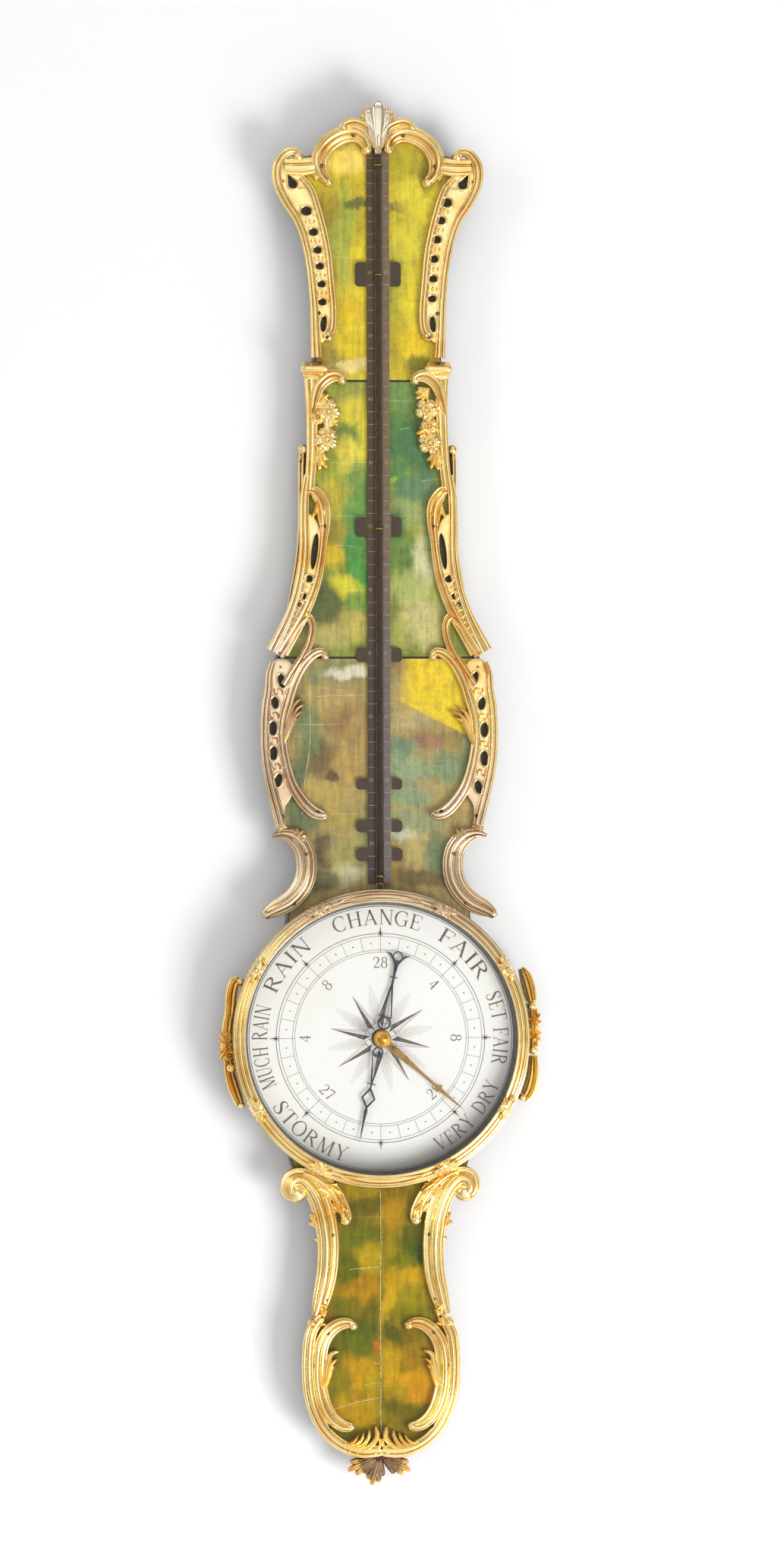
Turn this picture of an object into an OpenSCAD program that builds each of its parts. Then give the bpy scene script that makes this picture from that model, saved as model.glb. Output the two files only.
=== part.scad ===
// Wheel barometer with a thermometer, hung on a wall by a hole in its back.
// A shaped wooden case carries panels of stained horn, gilt bronze mounts that
// frame them, and a round dial over a siphon tube, float, pulley and hand.
// Every part is drawn as the viewer sees it: x to the right, y up from the centre
// of the dial, z out from the wall. hang() stands it upright, so that the origin
// is the hanging hole, the wall is the plane y = 0 and the front faces -y.

/* [Overall] */
// Outer radius of the bezel round the dial
bezel_r = 119.5; // [104:0.5:145]
// Height from the top of the bezel to the tip of the finial
upper_h = 634.5; // [525:0.5:765]
// Drop from the bottom of the bezel to the tip of the tail leaf
lower_h = 240; // [200:0.5:290]
// Width across the mounts at the widest part of the belly
belly_w = 191; // [158:0.5:230]

/* [Case] */
// Depth of the wooden case, from the wall to the back of the horn
case_depth = 30; // [29:0.5:42]
// Wood left between the tube channel and the horn
front_board_t = 5; // [3:0.5:6]
// Width of the channel that holds the glass tube
channel_w = 52; // [50:1:58]
// Radius of the well behind the dial that holds the movement
well_r = 52; // [46:1:60]
// Thickness of the thin board that closes the back
cover_t = 3; // [2:0.5:4]
// How far the back board lies below the back of the case
cover_sink = 2.4; // [2.2:0.1:4]
// Ledge that the back board rests on, all round
cover_ledge = 7; // [4:0.5:9]
// Thickness of the horn panels
panel_t = 2; // [1:0.25:3]
// Distance from the edge of the case to the edge of the horn
panel_inset = 1; // [0.5:0.25:3]
// Gap between neighbouring horn panels
panel_joint = 1.8; // [0.5:0.1:3]
// Gap at the upright seam between the two lower panels
panel_seam = 0.3; // [0.1:0.1:1]

/* [Hanging plate] */
// Radius of the hole that the wall hook enters
hook_hole_r = 4.5; // [3:0.25:6]
// Width of the brass hanging plate
hook_plate_w = 44; // [36:1:50]
// Height of the brass hanging plate
hook_plate_h = 26; // [20:1:28]
// Thickness of the brass hanging plate
hook_plate_t = 2; // [1.5:0.25:3]
// Depth of the room for the hook behind the plate
hook_room = 14; // [8:1:18]

/* [Mounts] */
// Height of the rails, scrolls and leaves above the horn
rail_relief = 8; // [5:0.5:11]
// Height of the crest scrolls above the horn
crest_relief = 9.5; // [6:0.5:12]
// Height of the flowers and their scroll above the horn
flower_relief = 10.5; // [7:0.5:13]
// Height of the two garlands beside the dial
garland_relief = 18; // [12:0.5:20]
// Height of the tail leaf
tail_relief = 7; // [5:0.5:9]
// How far the side mouldings stand out from the sides of the case
side_t = 3.5; // [2:0.25:5]
// Radius of the shank of the pins that hold the mounts
pin_r = 0.7; // [0.5:0.05:1]

/* [Dial] */
// Width of the bezel between its outer edge and the opening
bezel_w = 10.1; // [8:0.1:12]
// Height of the wooden drum above the front of the case
drum_h = 16; // [14:0.5:20]
// Depth from the front of the drum to the seat of the dial
dial_recess = 9; // [8:0.5:11]
// Thickness of the dial plate
dial_t = 2; // [1.5:0.25:3]
// Thickness of the glass
glass_t = 2; // [1.5:0.25:3]
// Radius of the brass setting knob
knob_r = 7; // [5:0.25:9]
// Height of the setting knob
knob_h = 7.3; // [5:0.1:9]
// Length of the steel index from the centre to its point
index_len = 85; // [70:0.5:88]
// Length of the brass setting hand from the centre to its point
set_len = 90; // [70:0.5:94]
// Thickness of both hands
hand_t = 0.8; // [0.5:0.1:1.2]

/* [Movement] */
// Radius of the pulley groove, to the middle of the thread
pulley_r = 5.745; // [5:0.005:6.5]
// Radius of the steel arbor
arbor_r = 1.5; // [1.2:0.05:2]
// Radius of the pivot at the back end of the arbor
pivot_r = 0.8; // [0.6:0.05:1]
// Outer radius of the long leg of the glass tube
leg_r = 4; // [3.5:0.1:4.5]
// Radius of the bore of the long leg
leg_bore_r = 2; // [1.5:0.1:2.5]
// Outer radius of the open short leg
cistern_r = 6.5; // [6:0.1:6.6]
// Radius of the bore of the short leg
cistern_bore_r = 4.7; // [4.4:0.1:5]
// Length of the float
float_len = 20; // [15:1:26]
// Length of the counterweight
counterweight_len = 20; // [15:1:24]

/* [Thermometer] */
// Width of the grooved plate behind the thermometer tube
plate_w = 18; // [14:0.5:22]
// Width of the plate across its lugs
lug_w = 36.8; // [28:0.2:42]
// Thickness of the thermometer plate
plate_t = 3; // [2.4:0.1:4]
// Outer radius of the thermometer tube
stem_r = 3.2; // [2.6:0.1:3.6]
// Radius of the bore of the thermometer tube
stem_bore_r = 0.9; // [0.5:0.1:1.2]

/* [Fits] */
// Radial clearance of what turns in a bearing
running_gap = 0.05; // [0.02:0.01:0.09]
// Clearance round what is let into wood or metal
seat_gap = 0.2; // [0.1:0.05:0.3]

/* [Hidden] */

// Colours of the materials
gilt = "#dba63f";
pale_bronze = "#b49a74";
brass = "#c79a45";
steel = "#4a4e57";
iron = "#3b3633";
dark_wood = "#2b1e18";
plain_wood = "#7a5a3c";
horn_olive = "#a9a22e";
horn_green = "#4f7f4a";
horn_tan = "#a08f62";
slate = "#4d4340";
glass = "#cfe0e6";
mercury = "#c3c7cc";

// Smoothness of round parts
$fn = 64;
// Sides of the small round details on cast mounts
small_sides = 7;

// Sizes at which the outlines and routes below were drawn
drawn_bezel_r = 119.5;
drawn_upper_h = 634.5;
drawn_lower_h = 240;
drawn_belly_w = 191;

// Places above and below the dial keep their distance from the bezel
wide = belly_w / drawn_belly_w;
tall_up = upper_h / drawn_upper_h;
tall_down = lower_h / drawn_lower_h;
function up_y(y) = bezel_r + (y - drawn_bezel_r) * tall_up;
function down_y(y) = -bezel_r - (-y - drawn_bezel_r) * tall_down;
function up(points) = [for (p = points) [p.x * wide, up_y(p.y)]];
function down(points) = [for (p = points) [p.x * wide, down_y(p.y)]];
function up_path(path) = [for (p = path) [p.x * wide, up_y(p.y), p[2]]];
function down_path(path) = [for (p = path) [p.x * wide, down_y(p.y), p[2]]];

// Distances from the wall
panel_front = case_depth + panel_t;
drum_front = case_depth + drum_h;
dial_seat = drum_front - dial_recess;
dial_front = dial_seat + dial_t;
ring_t = 1.8;
glass_back = drum_front + seat_gap + ring_t;
glass_front = glass_back + glass_t;
bezel_front = glass_front + 6;
index_z = dial_front + 2.6;
set_z = glass_back - 3;
channel_front = case_depth - front_board_t;
movement_z = 17;

// Radii of the dial, from the bezel inwards
drum_r = bezel_r - 3.5;
skirt_r = bezel_r - 0.8;
skirt_back = drum_front - 8;
opening_r = bezel_r - bezel_w;
pocket_r = opening_r + 3.5;
glass_r = pocket_r - seat_gap;
dial_r = drum_r - 4;
dial_pin_x = opening_r + 1.2;
dial_pin_len = 6;
dial_pin_head_t = 0.5;

// Height of the hanging hole above the centre of the dial
hook_y = up_y(692);

// Channel, well and back board
channel_top = up_y(660);
channel_bottom = down_y(-262);
cover_w = channel_w + 2 * cover_ledge - 2 * seat_gap;
cover_bottom = channel_bottom - cover_ledge + seat_gap;
cover_top = channel_top + cover_ledge - seat_gap;
cover_front = cover_sink + cover_t;

// Turn buttons, half way between the back board and the side of the case
button_y = up_y(608);
button_x = (cover_w / 2 + 50.5 * wide) / 2;
button_reach = 58.5 * wide - button_x;
button_t = 1.3;
button_z = cover_sink - seat_gap - button_t;
button_tail_r = 5;
button_pocket_r = button_reach + 1;
button_angle = 4;
screw_z = 0.2;
screw_r = 1.5;
screw_head_r = 3;
screw_head_t = 0.6;
screw_len = 12;

// Glass tube, mercury, float and counterweight
leg_x = -18;
bend_y = down_y(-235);
bend_r = (pulley_r - leg_x) / 2;
tube_top = up_y(652);
mercury_top = tube_top - 60;
chamber_foot = mercury_top - 62;
mercury_film = 0.03;
float_travel = 32;
cistern_top = -20;
mercury_level = -138.3;
cistern_foot = mercury_level - float_travel - 14.7;
cistern_cone = 10;
float_r = cistern_bore_r - 0.7;
float_bottom = mercury_level + 0.3;
float_top = float_bottom + float_len;
counterweight_top = -62;
counterweight_r = 2.5;
thread_r = 0.2;

// Bridge behind the dial that carries the back pivot of the arbor
bridge_z = 9;
bridge_t = 3;
bridge_x = 32;
bridge_w = 12;
pillar_r = 4;
bridge_screw_r = 1.4;

// Angles of the hands at rest, clockwise from the top of the dial
index_rest = 192;
set_rest = 131;

// Outline of the case, right half, from the top down to the dial
case_upper = [
    [0, 727], [14, 729], [28, 726], [40, 719], [49, 711], [58, 708.5], [68, 706.5],
    [76, 700.5], [79.5, 692], [78.5, 683], [73, 672], [64, 659], [57, 641], [52.5, 619],
    [50.5, 590], [50.5, 560], [52, 530], [54.5, 495], [57, 458], [59.5, 420], [63, 382],
    [68, 350], [76, 325], [82, 304], [87.5, 286], [91.5, 262], [92.5, 236], [90.5, 210],
    [86, 188], [79, 169], [71, 158], [64.5, 147], [62.5, 136], [65, 125], [72, 110]
];
// Outline of the case, right half, from the foot up to the dial
case_lower = [
    [0, -337], [20, -334.5], [35, -326], [47, -312], [54.5, -293], [57.5, -272],
    [56.5, -250], [52, -229], [46, -210], [42, -188], [41.5, -166], [44.5, -147],
    [52, -131], [63, -117], [70, -104]
];
// Heights of the joints between the horn panels
joint_top_y = up_y(528);
joint_belly_y = up_y(305.6);

// Crest: each scroll arm starts at a curl beside the tube and ends in a drop
crest_arm_route = [
    [9, 713.5, 6], [12, 721, 9], [19.5, 725, 10.7], [30, 723, 11.5], [40, 715.5, 12.4],
    [45.5, 705, 12], [44.5, 695, 8.5], [39.5, 687.8, 6]
];
crest_bar_route = [[73, 698.5, 13], [60, 698.5, 14.5], [47, 698.5, 14]];
finial_curl_route = [
    [2.5, 722, 5], [8.5, 731.5, 6.5], [18.5, 735.5, 6.5], [25.5, 734, 6], [28.5, 731, 4.5]
];
finial_leaf_route = [[0, 721, 9], [0, 735, 9], [0, 744, 11.6], [0, 750.5, 9.5], [0, 754, 3.5]];
finial_lobe_route = [[2.5, 728, 4], [7, 737, 6.5], [9.5, 744, 4.5], [9.6, 748.5, 2]];

// Shoulder: a pierced bar between an outer and an inner rail
shoulder_outer_route = [
    [62.5, 707.5, 4], [67, 712, 6], [75, 709.5, 8], [80.8, 699, 8.5], [80, 685, 8],
    [73, 670.5, 7.5], [64.5, 657, 7], [58.5, 640, 6.5], [54.3, 618, 6.5], [51.5, 590, 7],
    [50.5, 566, 8], [49.5, 546.5, 9.5]
];
shoulder_inner_route = [
    [62, 691, 6], [54, 681, 7], [48.5, 665, 7], [44, 648, 7], [40.5, 630, 7],
    [38.3, 607, 7], [36.5, 585, 7], [37, 571, 7], [40.5, 563.5, 8]
];
shoulder_plate = [
    [76, 700], [79, 688], [71, 670], [60, 650], [54, 620], [51, 590], [50, 562],
    [44, 560], [36.5, 574], [38.5, 610], [43, 643], [48, 666], [56, 684], [62, 694]
];
shoulder_drop = [68.5, 685.5];
shoulder_drop_turn = -28;
shoulder_slot = [44, 573.5];
shoulder_slot_turn = 6;
shoulder_holes_left = [
    [57.8, 664, 4], [52, 647.2, 3.2], [48.8, 632.7, 3], [47, 619.8, 3], [45.6, 605.4, 3],
    [45, 591, 3]
];
shoulder_holes_right = [
    [55.6, 671.2, 3.8], [50.8, 656.9, 3.2], [47.4, 641.5, 3.2], [45.2, 625.9, 3.2],
    [44.4, 610, 3.2], [43.6, 594, 3]
];

// Flower mount: a capital, a reeded pilaster, a leaf scroll, flowers and a pierced foot
pilaster_route = [[53.5, 538, 11], [52.5, 515, 10], [52.5, 490, 9.5], [54, 466, 9.5], [56, 440, 8.5]];
flower_scroll_route = [
    [52.5, 500, 6], [50.5, 514, 9], [46.3, 524, 10.4], [39.3, 530.7, 10.4], [32.5, 531.5, 8.5],
    [28.2, 527.5, 5]
];
foot_outer_route = [
    [56.5, 452, 6], [58.5, 436, 7], [58.5, 415, 7.5], [58.5, 395, 8], [60.5, 377, 8.5],
    [64.5, 357, 9], [70.5, 339, 10], [78.5, 322, 13], [84.5, 310, 15]
];
foot_inner_route = [
    [56, 438, 5], [49, 435.5, 8.5], [43.2, 424, 9.5], [43, 409, 9], [45.4, 395, 6.5],
    [46.8, 383, 6.5], [49.5, 369, 7], [54.5, 354, 8], [61.5, 339, 9], [71, 323, 12], [79, 310, 14]
];
foot_plate = [
    [50, 414], [59, 420], [59, 396], [65, 358], [80, 318], [72, 318], [60, 342],
    [49.5, 366], [46, 392]
];
foot_slit = [51.6, 393];
foot_slit_turn = 7;
foot_holes = [[56.3, 369, 3], [60.6, 354.7, 2.8], [66, 340.7, 2.2]];
flowers_left = [[38.9, 502, 7.3], [40.3, 482, 7.3], [49.8, 502, 5]];
flowers_right = [[37.8, 505.5, 6], [40.5, 493, 5.5], [39.8, 478.5, 7.3]];
flower_stem_route = [[51, 508, 4], [43, 502, 5], [41, 492, 5], [42, 480, 5], [50, 466, 5]];
flower_leaves_left = [
    [[44, 496, 5], [36.5, 494, 6.5], [29.5, 491.5, 2]],
    [[45, 476, 6], [47.5, 468, 9.5], [49, 460, 6], [50.5, 452, 2.5]]
];
flower_leaves_right = [
    [[42, 521, 8], [34, 515.5, 11], [29, 511, 3]],
    [[40, 488, 5], [33, 485, 6.5], [27.5, 482.5, 2]],
    [[44, 474, 7], [48.5, 467, 9.5], [50, 458, 6], [51, 448, 2.5]]
];

// Belly mount: a pierced rail, a leaf scroll within it and a hook at its head
belly_outer_route = [
    [85.5, 302, 4.5], [88.3, 293, 6], [89, 280, 7], [91, 266, 8], [91.8, 250, 8],
    [91.6, 232, 8], [89.5, 214, 8.5], [85.7, 197, 9], [81.5, 181, 9.5], [79, 171, 9]
];
belly_inner_route = [
    [41.5, 306, 4], [46, 310.5, 7], [54, 307.8, 8.5], [62, 299, 9], [68.5, 286, 9],
    [73, 272, 9], [77.3, 256, 8.5], [78, 238, 8.5], [75.2, 220, 8.5], [70.5, 204, 9.5],
    [62.5, 191, 10.5], [53.5, 182, 11], [46, 179.3, 9], [42.2, 181.5, 5]
];
belly_hook_route = [
    [80.5, 307, 8], [72, 319.5, 7.5], [64.5, 332.5, 7.5], [57.8, 338.5, 7.5], [53.8, 331.5, 6.5],
    [55.5, 319, 6.5], [61, 307, 7.5], [68, 296, 8.5], [76, 283, 8]
];
belly_plate = [
    [70, 298], [84, 303], [89, 280], [92, 250], [90, 214], [82, 180], [79, 172], [76, 172],
    [76, 186], [70, 200], [76, 222], [78, 240], [76, 262]
];
belly_holes_left = [
    [78.6, 287, 2.7, 5.6, -14], [84, 269.5, 2.7, 4.6, -8], [85.7, 249, 3, 5.6, 0],
    [85.3, 229, 3, 5.4, 2], [81.5, 207.4, 2.8, 5.2, 10]
];
belly_holes_right = [
    [77, 288.5, 2.6, 5.6, -14], [82.8, 268.5, 2.8, 5, -8], [84.8, 247.5, 3, 5.8, 0],
    [84.6, 224.5, 3, 6, 3], [79.8, 201.5, 2.8, 5.2, 12]
];
belly_sprig_routes = [
    [[75, 254, 7], [67.5, 261, 7.5], [61.5, 267, 5.5], [58.3, 267.5, 2.5]],
    [[74, 250, 5], [67, 254, 5.5], [61.5, 258.5, 2]]
];

// Cup: a broad scroll that curls outwards above the dial
cup_route = [
    [85.5, 162.5, 2.5], [76.5, 163.5, 8], [67, 160, 13.5], [60.5, 151, 15.5], [58.5, 139, 16],
    [60.5, 127, 16], [66, 117, 15.5], [74, 109, 15], [83.5, 104, 13], [89.5, 101, 9], [93.5, 97, 5]
];
cup_shell_route = [[71, 161, 5], [66, 168, 8], [60.5, 166, 9], [56, 157, 5]];

// Garlands beside the dial, as angles round it with their widths
garland_stem = [[-27, 3], [-22, 8], [-14, 6], [-9, 8], [-3, 7], [8, 7], [14, 8], [19, 5], [23, 8], [27, 3]];
garland_flower_angles = [-6, 1, 9];
garland_turn_left = -3;
garland_turn_right = 1;

// Lower scroll: an S that starts at a volute under the dial, and a leaf inside it
lower_scroll_route = [
    [64.5, -131, 5], [72, -128.5, 9], [74.3, -119.5, 9.5], [69, -113.2, 11], [61, -115.5, 13],
    [53.5, -123, 14.5], [46.8, -134.5, 16], [43, -150, 17], [41.8, -168, 16.5], [43, -188, 16.5],
    [47, -206, 16], [51.5, -222, 14]
];
lower_leaf_route = [
    [63, -106.5, 6], [54, -109.5, 8], [45, -116, 9], [37.3, -124.5, 9], [31.3, -134.5, 9],
    [28, -143.5, 7.5], [28.7, -150, 3.5]
];
lower_scroll_spurs = [
    [[50, -146, 5], [54, -139.5, 5], [59.5, -135.5, 2]],
    [[47, -160, 6], [51, -154, 4], [53.5, -149.5, 2]]
];

// Lower frame: an outer rail round the foot, an inner scroll, sprigs and three fingers
frame_outer_route = [
    [48.5, -224.5, 8], [56, -236, 9.5], [58.5, -253, 9.5], [58.5, -274, 9.5], [56, -292, 9.5],
    [49.3, -308.5, 9.5], [40.5, -320, 9.5], [29, -328, 9.5], [16, -332, 10.5], [3, -331.6, 10]
];
frame_inner_route = [
    [20.5, -231.5, 3.5], [26, -228.8, 7], [35, -230, 9.5], [43, -236.5, 10.5], [48.5, -247, 11.5],
    [50.5, -262, 12], [50, -278, 12], [46.5, -293, 11.5], [40.3, -304.3, 10.5], [31.5, -311.3, 9],
    [24, -312.8, 5]
];
frame_sprig_routes = [
    [[47, -260, 6], [40.5, -254.5, 5.5], [34.3, -252.8, 2.5]],
    [[47, -268, 5], [41.5, -262.5, 4.5], [36.5, -261, 2]]
];
frame_finger_routes = [
    [[13, -331, 6], [7.5, -325, 6.5], [5, -314, 4]],
    [[18, -330, 5], [12, -324.5, 5.5], [9.3, -317, 3]],
    [[23, -328.5, 4.5], [16, -325, 4.5], [12.5, -321, 2.5]]
];

// Tail leaf: three lobes that hang below the case
tail_routes = [
    [[-1, -337, 7], [-11, -342.5, 14], [-20, -348, 14], [-28.5, -351.5, 5]],
    [[-1, -337, 6], [-4, -346, 11], [-7, -353.5, 12.5], [-8.5, -359, 5]],
    [[0, -337, 7], [8.5, -342.5, 13], [17, -347.5, 12], [24, -349, 5]]
];

// Pins on the right half, above and below the dial, mirrored to the left
pins_upper = [
    [20, 725], [46, 700], [76.5, 688], [48.3, 582], [41, 563], [48, 541], [44.5, 411],
    [64, 348], [79.5, 298], [78.6, 178], [50, 181], [59, 148], [69.5, 108.5]
];
pins_lower = [[39.5, -158], [43.5, -210], [54.8, -263], [43, -236.5], [41.5, -313]];
finial_pin = [0, 724.8];
pin_sink = 3;
pin_len = pin_sink + panel_t + front_board_t;
pin_head_r = 1.3;
pin_head_t = 0.8;
// Pins through each garland into the side of the drum, as angles round the dial
garland_pin_angles = [-14.5, 15];
garland_pin_z = case_depth + 4;
garland_back = case_depth - 4;
garland_r = bezel_r + 3.4;

// Peg of the tail leaf, driven up into the foot of the case
peg_r = 1.5;
peg_len = 9;
tail_back = case_depth - 5;
peg_z = tail_back + peg_r + 0.3;

// Lugs of the thermometer plate: lower edge, upper edge
lugs = [
    [603.9, 623.4], [402.6, 418.5], [302, 313.5], [199.5, 208.6], [165.3, 175], [142.1, 152.5]
];
lug_corner_r = 3;
plate_screw_lugs = [0, 4];
plate_screw_x = 14.2;
plate_screw_r = 1.2;
plate_screw_head_r = 2.2;
plate_screw_head_t = 0.9;
plate_top = up_y(713);
plate_bottom = up_y(124);
stem_top = up_y(719.5);
stem_bottom = up_y(121.5);
groove_depth = 2;
groove_w = 2 * stem_r + 2 * seat_gap;
stem_z = panel_front + plate_t - groove_depth + running_gap + stem_r;
spirit_top = up_y(330);
tie_heights = [701, 613, 409, 130, 124];
tie_wire_r = 0.45;

// Smooth curve through points, with steps pieces between neighbours
function bend(a, b, c, d, t) =
    0.5 * (2 * b + (c - a) * t + (2 * a - 5 * b + 4 * c - d) * t * t
    + (3 * b - a - 3 * c + d) * t * t * t);
function smooth(points, steps) = [
    for (i = [0 : len(points) - 2])
        for (s = [0 : steps - 1])
            bend(
                points[max(i - 1, 0)], points[i], points[i + 1],
                points[min(i + 2, len(points) - 1)], s / steps
            ),
    points[len(points) - 1]
];
// The same curve as a closed loop
function smooth_loop(points, steps) = [
    for (i = [0 : len(points) - 1])
        for (s = [0 : steps - 1])
            bend(
                points[(i + len(points) - 1) % len(points)], points[i],
                points[(i + 1) % len(points)], points[(i + 2) % len(points)], s / steps
            )
];
// Both halves of an outline whose right half starts on the middle line
function both_halves(half) = concat(
    half, [for (i = [len(half) - 1 : -1 : 1]) [-half[i].x, half[i].y]]
);
// Route at one radius round the dial, from angles and widths
function round_route(r, stops, turn) = [
    for (s = stops) [r * cos(s[0] + turn), r * sin(s[0] + turn), s[1]]
];

// Sections across a route: share of the half width, share of the height
rail_section = [[-1, 0], [-1, 0.5], [-0.45, 1], [0.2, 0.55], [1, 0.8], [1, 0]];
leaf_section = [[-1, 0], [-0.9, 0.5], [0, 1], [0.9, 0.5], [1, 0]];
// Gap left between neighbouring castings
room_gap = 0.3;

// Direction of a route at one of its points
function heading(path, i) =
    let (
        a = path[max(i - 1, 0)],
        b = path[min(i + 1, len(path) - 1)],
        d = [b.x - a.x, b.y - a.y]
    )
    d / norm(d);

// Cast scroll along a route of [x, y, width], flat at the back. A short route is
// smoothed, and a long one already has a point wherever it bends.
module scroll(route, height = 1, section = rail_section) {
    path = smooth(route, len(route) > 7 ? 1 : 2);
    n = len(section);
    points = [
        for (i = [0 : len(path) - 1])
            let (
                d = heading(path, i),
                half = max(path[i][2], 0.6) / 2,
                rise = $relief * height * (0.45 + 0.55 * min(1, half / 4))
            )
            for (s = section)
                [path[i].x - d.y * half * s.x, path[i].y + d.x * half * s.x, rise * s.y]
    ];
    last = (len(path) - 1) * n;
    faces = concat(
        [[for (j = [n - 1 : -1 : 0]) j]],
        [
            for (i = [0 : len(path) - 2])
                for (j = [0 : n - 1])
                    [i * n + j, i * n + (j + 1) % n, (i + 1) * n + (j + 1) % n, (i + 1) * n + j]
        ],
        [[for (j = [0 : n - 1]) last + j]]
    );
    polyhedron(points, faces, convexity = 6);
}

// Cast leaf with a raised midrib along a route
module leaf(route, height = 0.9) {
    scroll(route, height, leaf_section);
}

// Round drop that ends a scroll
module ball(x, y, r, height = 0.9) {
    translate([x, y, 0]) cylinder(r1 = r, r2 = r * 0.55, h = height * $relief, $fn = small_sides);
}

// Flower of five petals round an eye
module flower(x, y, r, height = 1) {
    petals = 5;
    translate([x, y, 0]) {
        linear_extrude($relief * height * 0.75, scale = 0.8)
            for (i = [0 : petals - 1])
                rotate(i * 360 / petals) translate([r * 0.55, 0]) circle(r = r * 0.42, $fn = 5);
        cylinder(r1 = r * 0.4, r2 = r * 0.2, h = height * $relief, $fn = 6);
    }
}

// Pierced ground between two rails, with its holes as children
module ground(outline, height = 0.35) {
    linear_extrude(height * $relief)
        difference() {
            polygon(outline);
            children();
        }
}

// Long hole with round ends, such as a slot or a kidney
module long_hole(x, y, r, half_length, turn) {
    translate([x, y])
        rotate(turn)
            polygon([
                for (a = [0 : 45 : 315])
                    [r * cos(a + 22.5), r * sin(a + 22.5) + (a < 180 ? 1 : -1) * (half_length - r)]
            ]);
}

// Hole shaped like a drop, point at the top
module drop_hole(x, y, r, length, turn) {
    translate([x, y])
        rotate(turn)
            polygon(concat(
                [[0, length - r]],
                [for (a = [150 : 40 : 390]) [r * cos(a), r * sin(a)]]
            ));
}

// Holes in a cast mount for the pins that fall on it, with sunk heads
module pin_holes(pins) {
    for (p = pins)
        translate([p.x, p.y, 0]) {
            translate([0, 0, -1]) cylinder(r = pin_r + seat_gap, h = 30, $fn = 6);
            translate([0, 0, pin_sink]) cylinder(r = pin_head_r + 0.4, h = 30, $fn = 6);
        }
}

// One piece of cast metal: its scrolls and leaves joined and brought to their relief
module casting(relief) {
    $relief = relief;
    resize([0, 0, relief]) union() children();
}

// Room cut in one casting for the scroll of its neighbour
room_section = [[-1, 0], [-1, 1], [1, 1], [1, 0]];
module room_for(route) {
    translate([0, 0, -$relief])
        scroll([for (p = route) [p.x, p.y, p[2] + 2 * room_gap]], 8, room_section);
}

// Stands a drawing upright on the wall, below the hanging hole
module hang() {
    translate([0, 0, -hook_y]) rotate([90, 0, 0]) children();
}

// Stands a cast mount on the front of the horn
module on_front() {
    hang() translate([0, 0, panel_front]) children();
}

// The left-hand copy of a mount drawn for the right
module left_hand() {
    mirror([1, 0, 0]) children();
}

// Cylinder along y between two heights
module upright(x, z, y0, y1, r) {
    translate([x, y0, z]) rotate([-90, 0, 0]) cylinder(r = r, h = y1 - y0);
}

// Pin places of both halves
module at_pins() {
    for (side = [-1, 1])
        for (p = concat(up(pins_upper), down(pins_lower)))
            translate([side * p.x, p.y, 0]) children();
    translate([finial_pin.x, up_y(finial_pin.y), 0]) children();
}

// Screw places behind the lugs of the thermometer plate
module at_plate_screws() {
    for (i = plate_screw_lugs)
        for (side = [-1, 1])
            translate([side * plate_screw_x, up_y((lugs[i][0] + lugs[i][1]) / 2), 0]) children();
}

// Outlines of the case above and below the dial, which end on the edge of the drum
module upper_outline() {
    meet = drum_r * [cos(50), sin(50)];
    polygon(both_halves(concat(smooth(up(case_upper), 2), [meet])));
}
module lower_outline() {
    meet = drum_r * [cos(50), -sin(50)];
    polygon(both_halves(concat(smooth(down(case_lower), 2), [meet])));
}

// Case and back

module back_board(w, bottom, top, r, t) {
    translate([-w / 2, bottom, 0]) cube([w, top - bottom, t]);
    cylinder(r = r, h = t);
}

module case_carcass() {
    color(dark_wood) hang() difference() {
        union() {
            linear_extrude(case_depth) upper_outline();
            linear_extrude(case_depth) lower_outline();
            cylinder(r = drum_r, h = case_depth);
        }
        translate([-channel_w / 2, channel_bottom, -1])
            cube([channel_w, channel_top - channel_bottom, channel_front + 1]);
        translate([0, 0, -1]) cylinder(r = well_r, h = case_depth + 2);
        translate([0, 0, -1])
            back_board(
                cover_w + 2 * seat_gap, cover_bottom - seat_gap, cover_top + seat_gap,
                well_r + cover_ledge, cover_front + 1
            );
        for (side = [-1, 1])
            translate([side * button_x, button_y, -1]) {
                cylinder(r = button_pocket_r, h = cover_sink + 1);
                cylinder(r = screw_r, h = 1 + screw_z + screw_len);
            }
        translate([-hook_plate_w / 2 - seat_gap, hook_y - hook_plate_h / 2 - seat_gap, -1])
            cube([hook_plate_w + 2 * seat_gap, hook_plate_h + 2 * seat_gap, hook_plate_t + 1]);
        translate([0, hook_y, -1]) cylinder(r = hook_hole_r * 2, h = hook_room + 1);
        for (side = [-1, 1])
            translate([side * hook_plate_w * 0.36, hook_y, 0])
                cylinder(r = screw_r, h = screw_z + screw_len);
        upright(0, peg_z, down_y(-337) - 1, down_y(-337) + peg_len, peg_r);
        at_plate_screws() cylinder(r = plate_screw_r + seat_gap / 4, h = case_depth + 1);
    }
}

module dial_drum() {
    color(dark_wood) hang() difference() {
        translate([0, 0, case_depth]) cylinder(r = drum_r, h = drum_h);
        translate([0, 0, dial_seat]) cylinder(r = dial_r + seat_gap, h = drum_h);
        translate([0, 0, case_depth - 1]) cylinder(r = well_r, h = drum_h);
        for (a = [45 : 90 : 315])
            rotate(a) {
                translate([skirt_r - dial_pin_len, 0, skirt_back + 4])
                    rotate([0, 90, 0]) cylinder(r = pin_r, h = 10);
                translate([dial_pin_x, 0, dial_front - dial_pin_len]) cylinder(r = pin_r, h = drum_h);
            }
    }
}

module rear_cover() {
    color(plain_wood) hang() translate([0, 0, cover_sink])
        back_board(cover_w, cover_bottom, cover_top, well_r + cover_ledge - seat_gap, cover_t);
}

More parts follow.
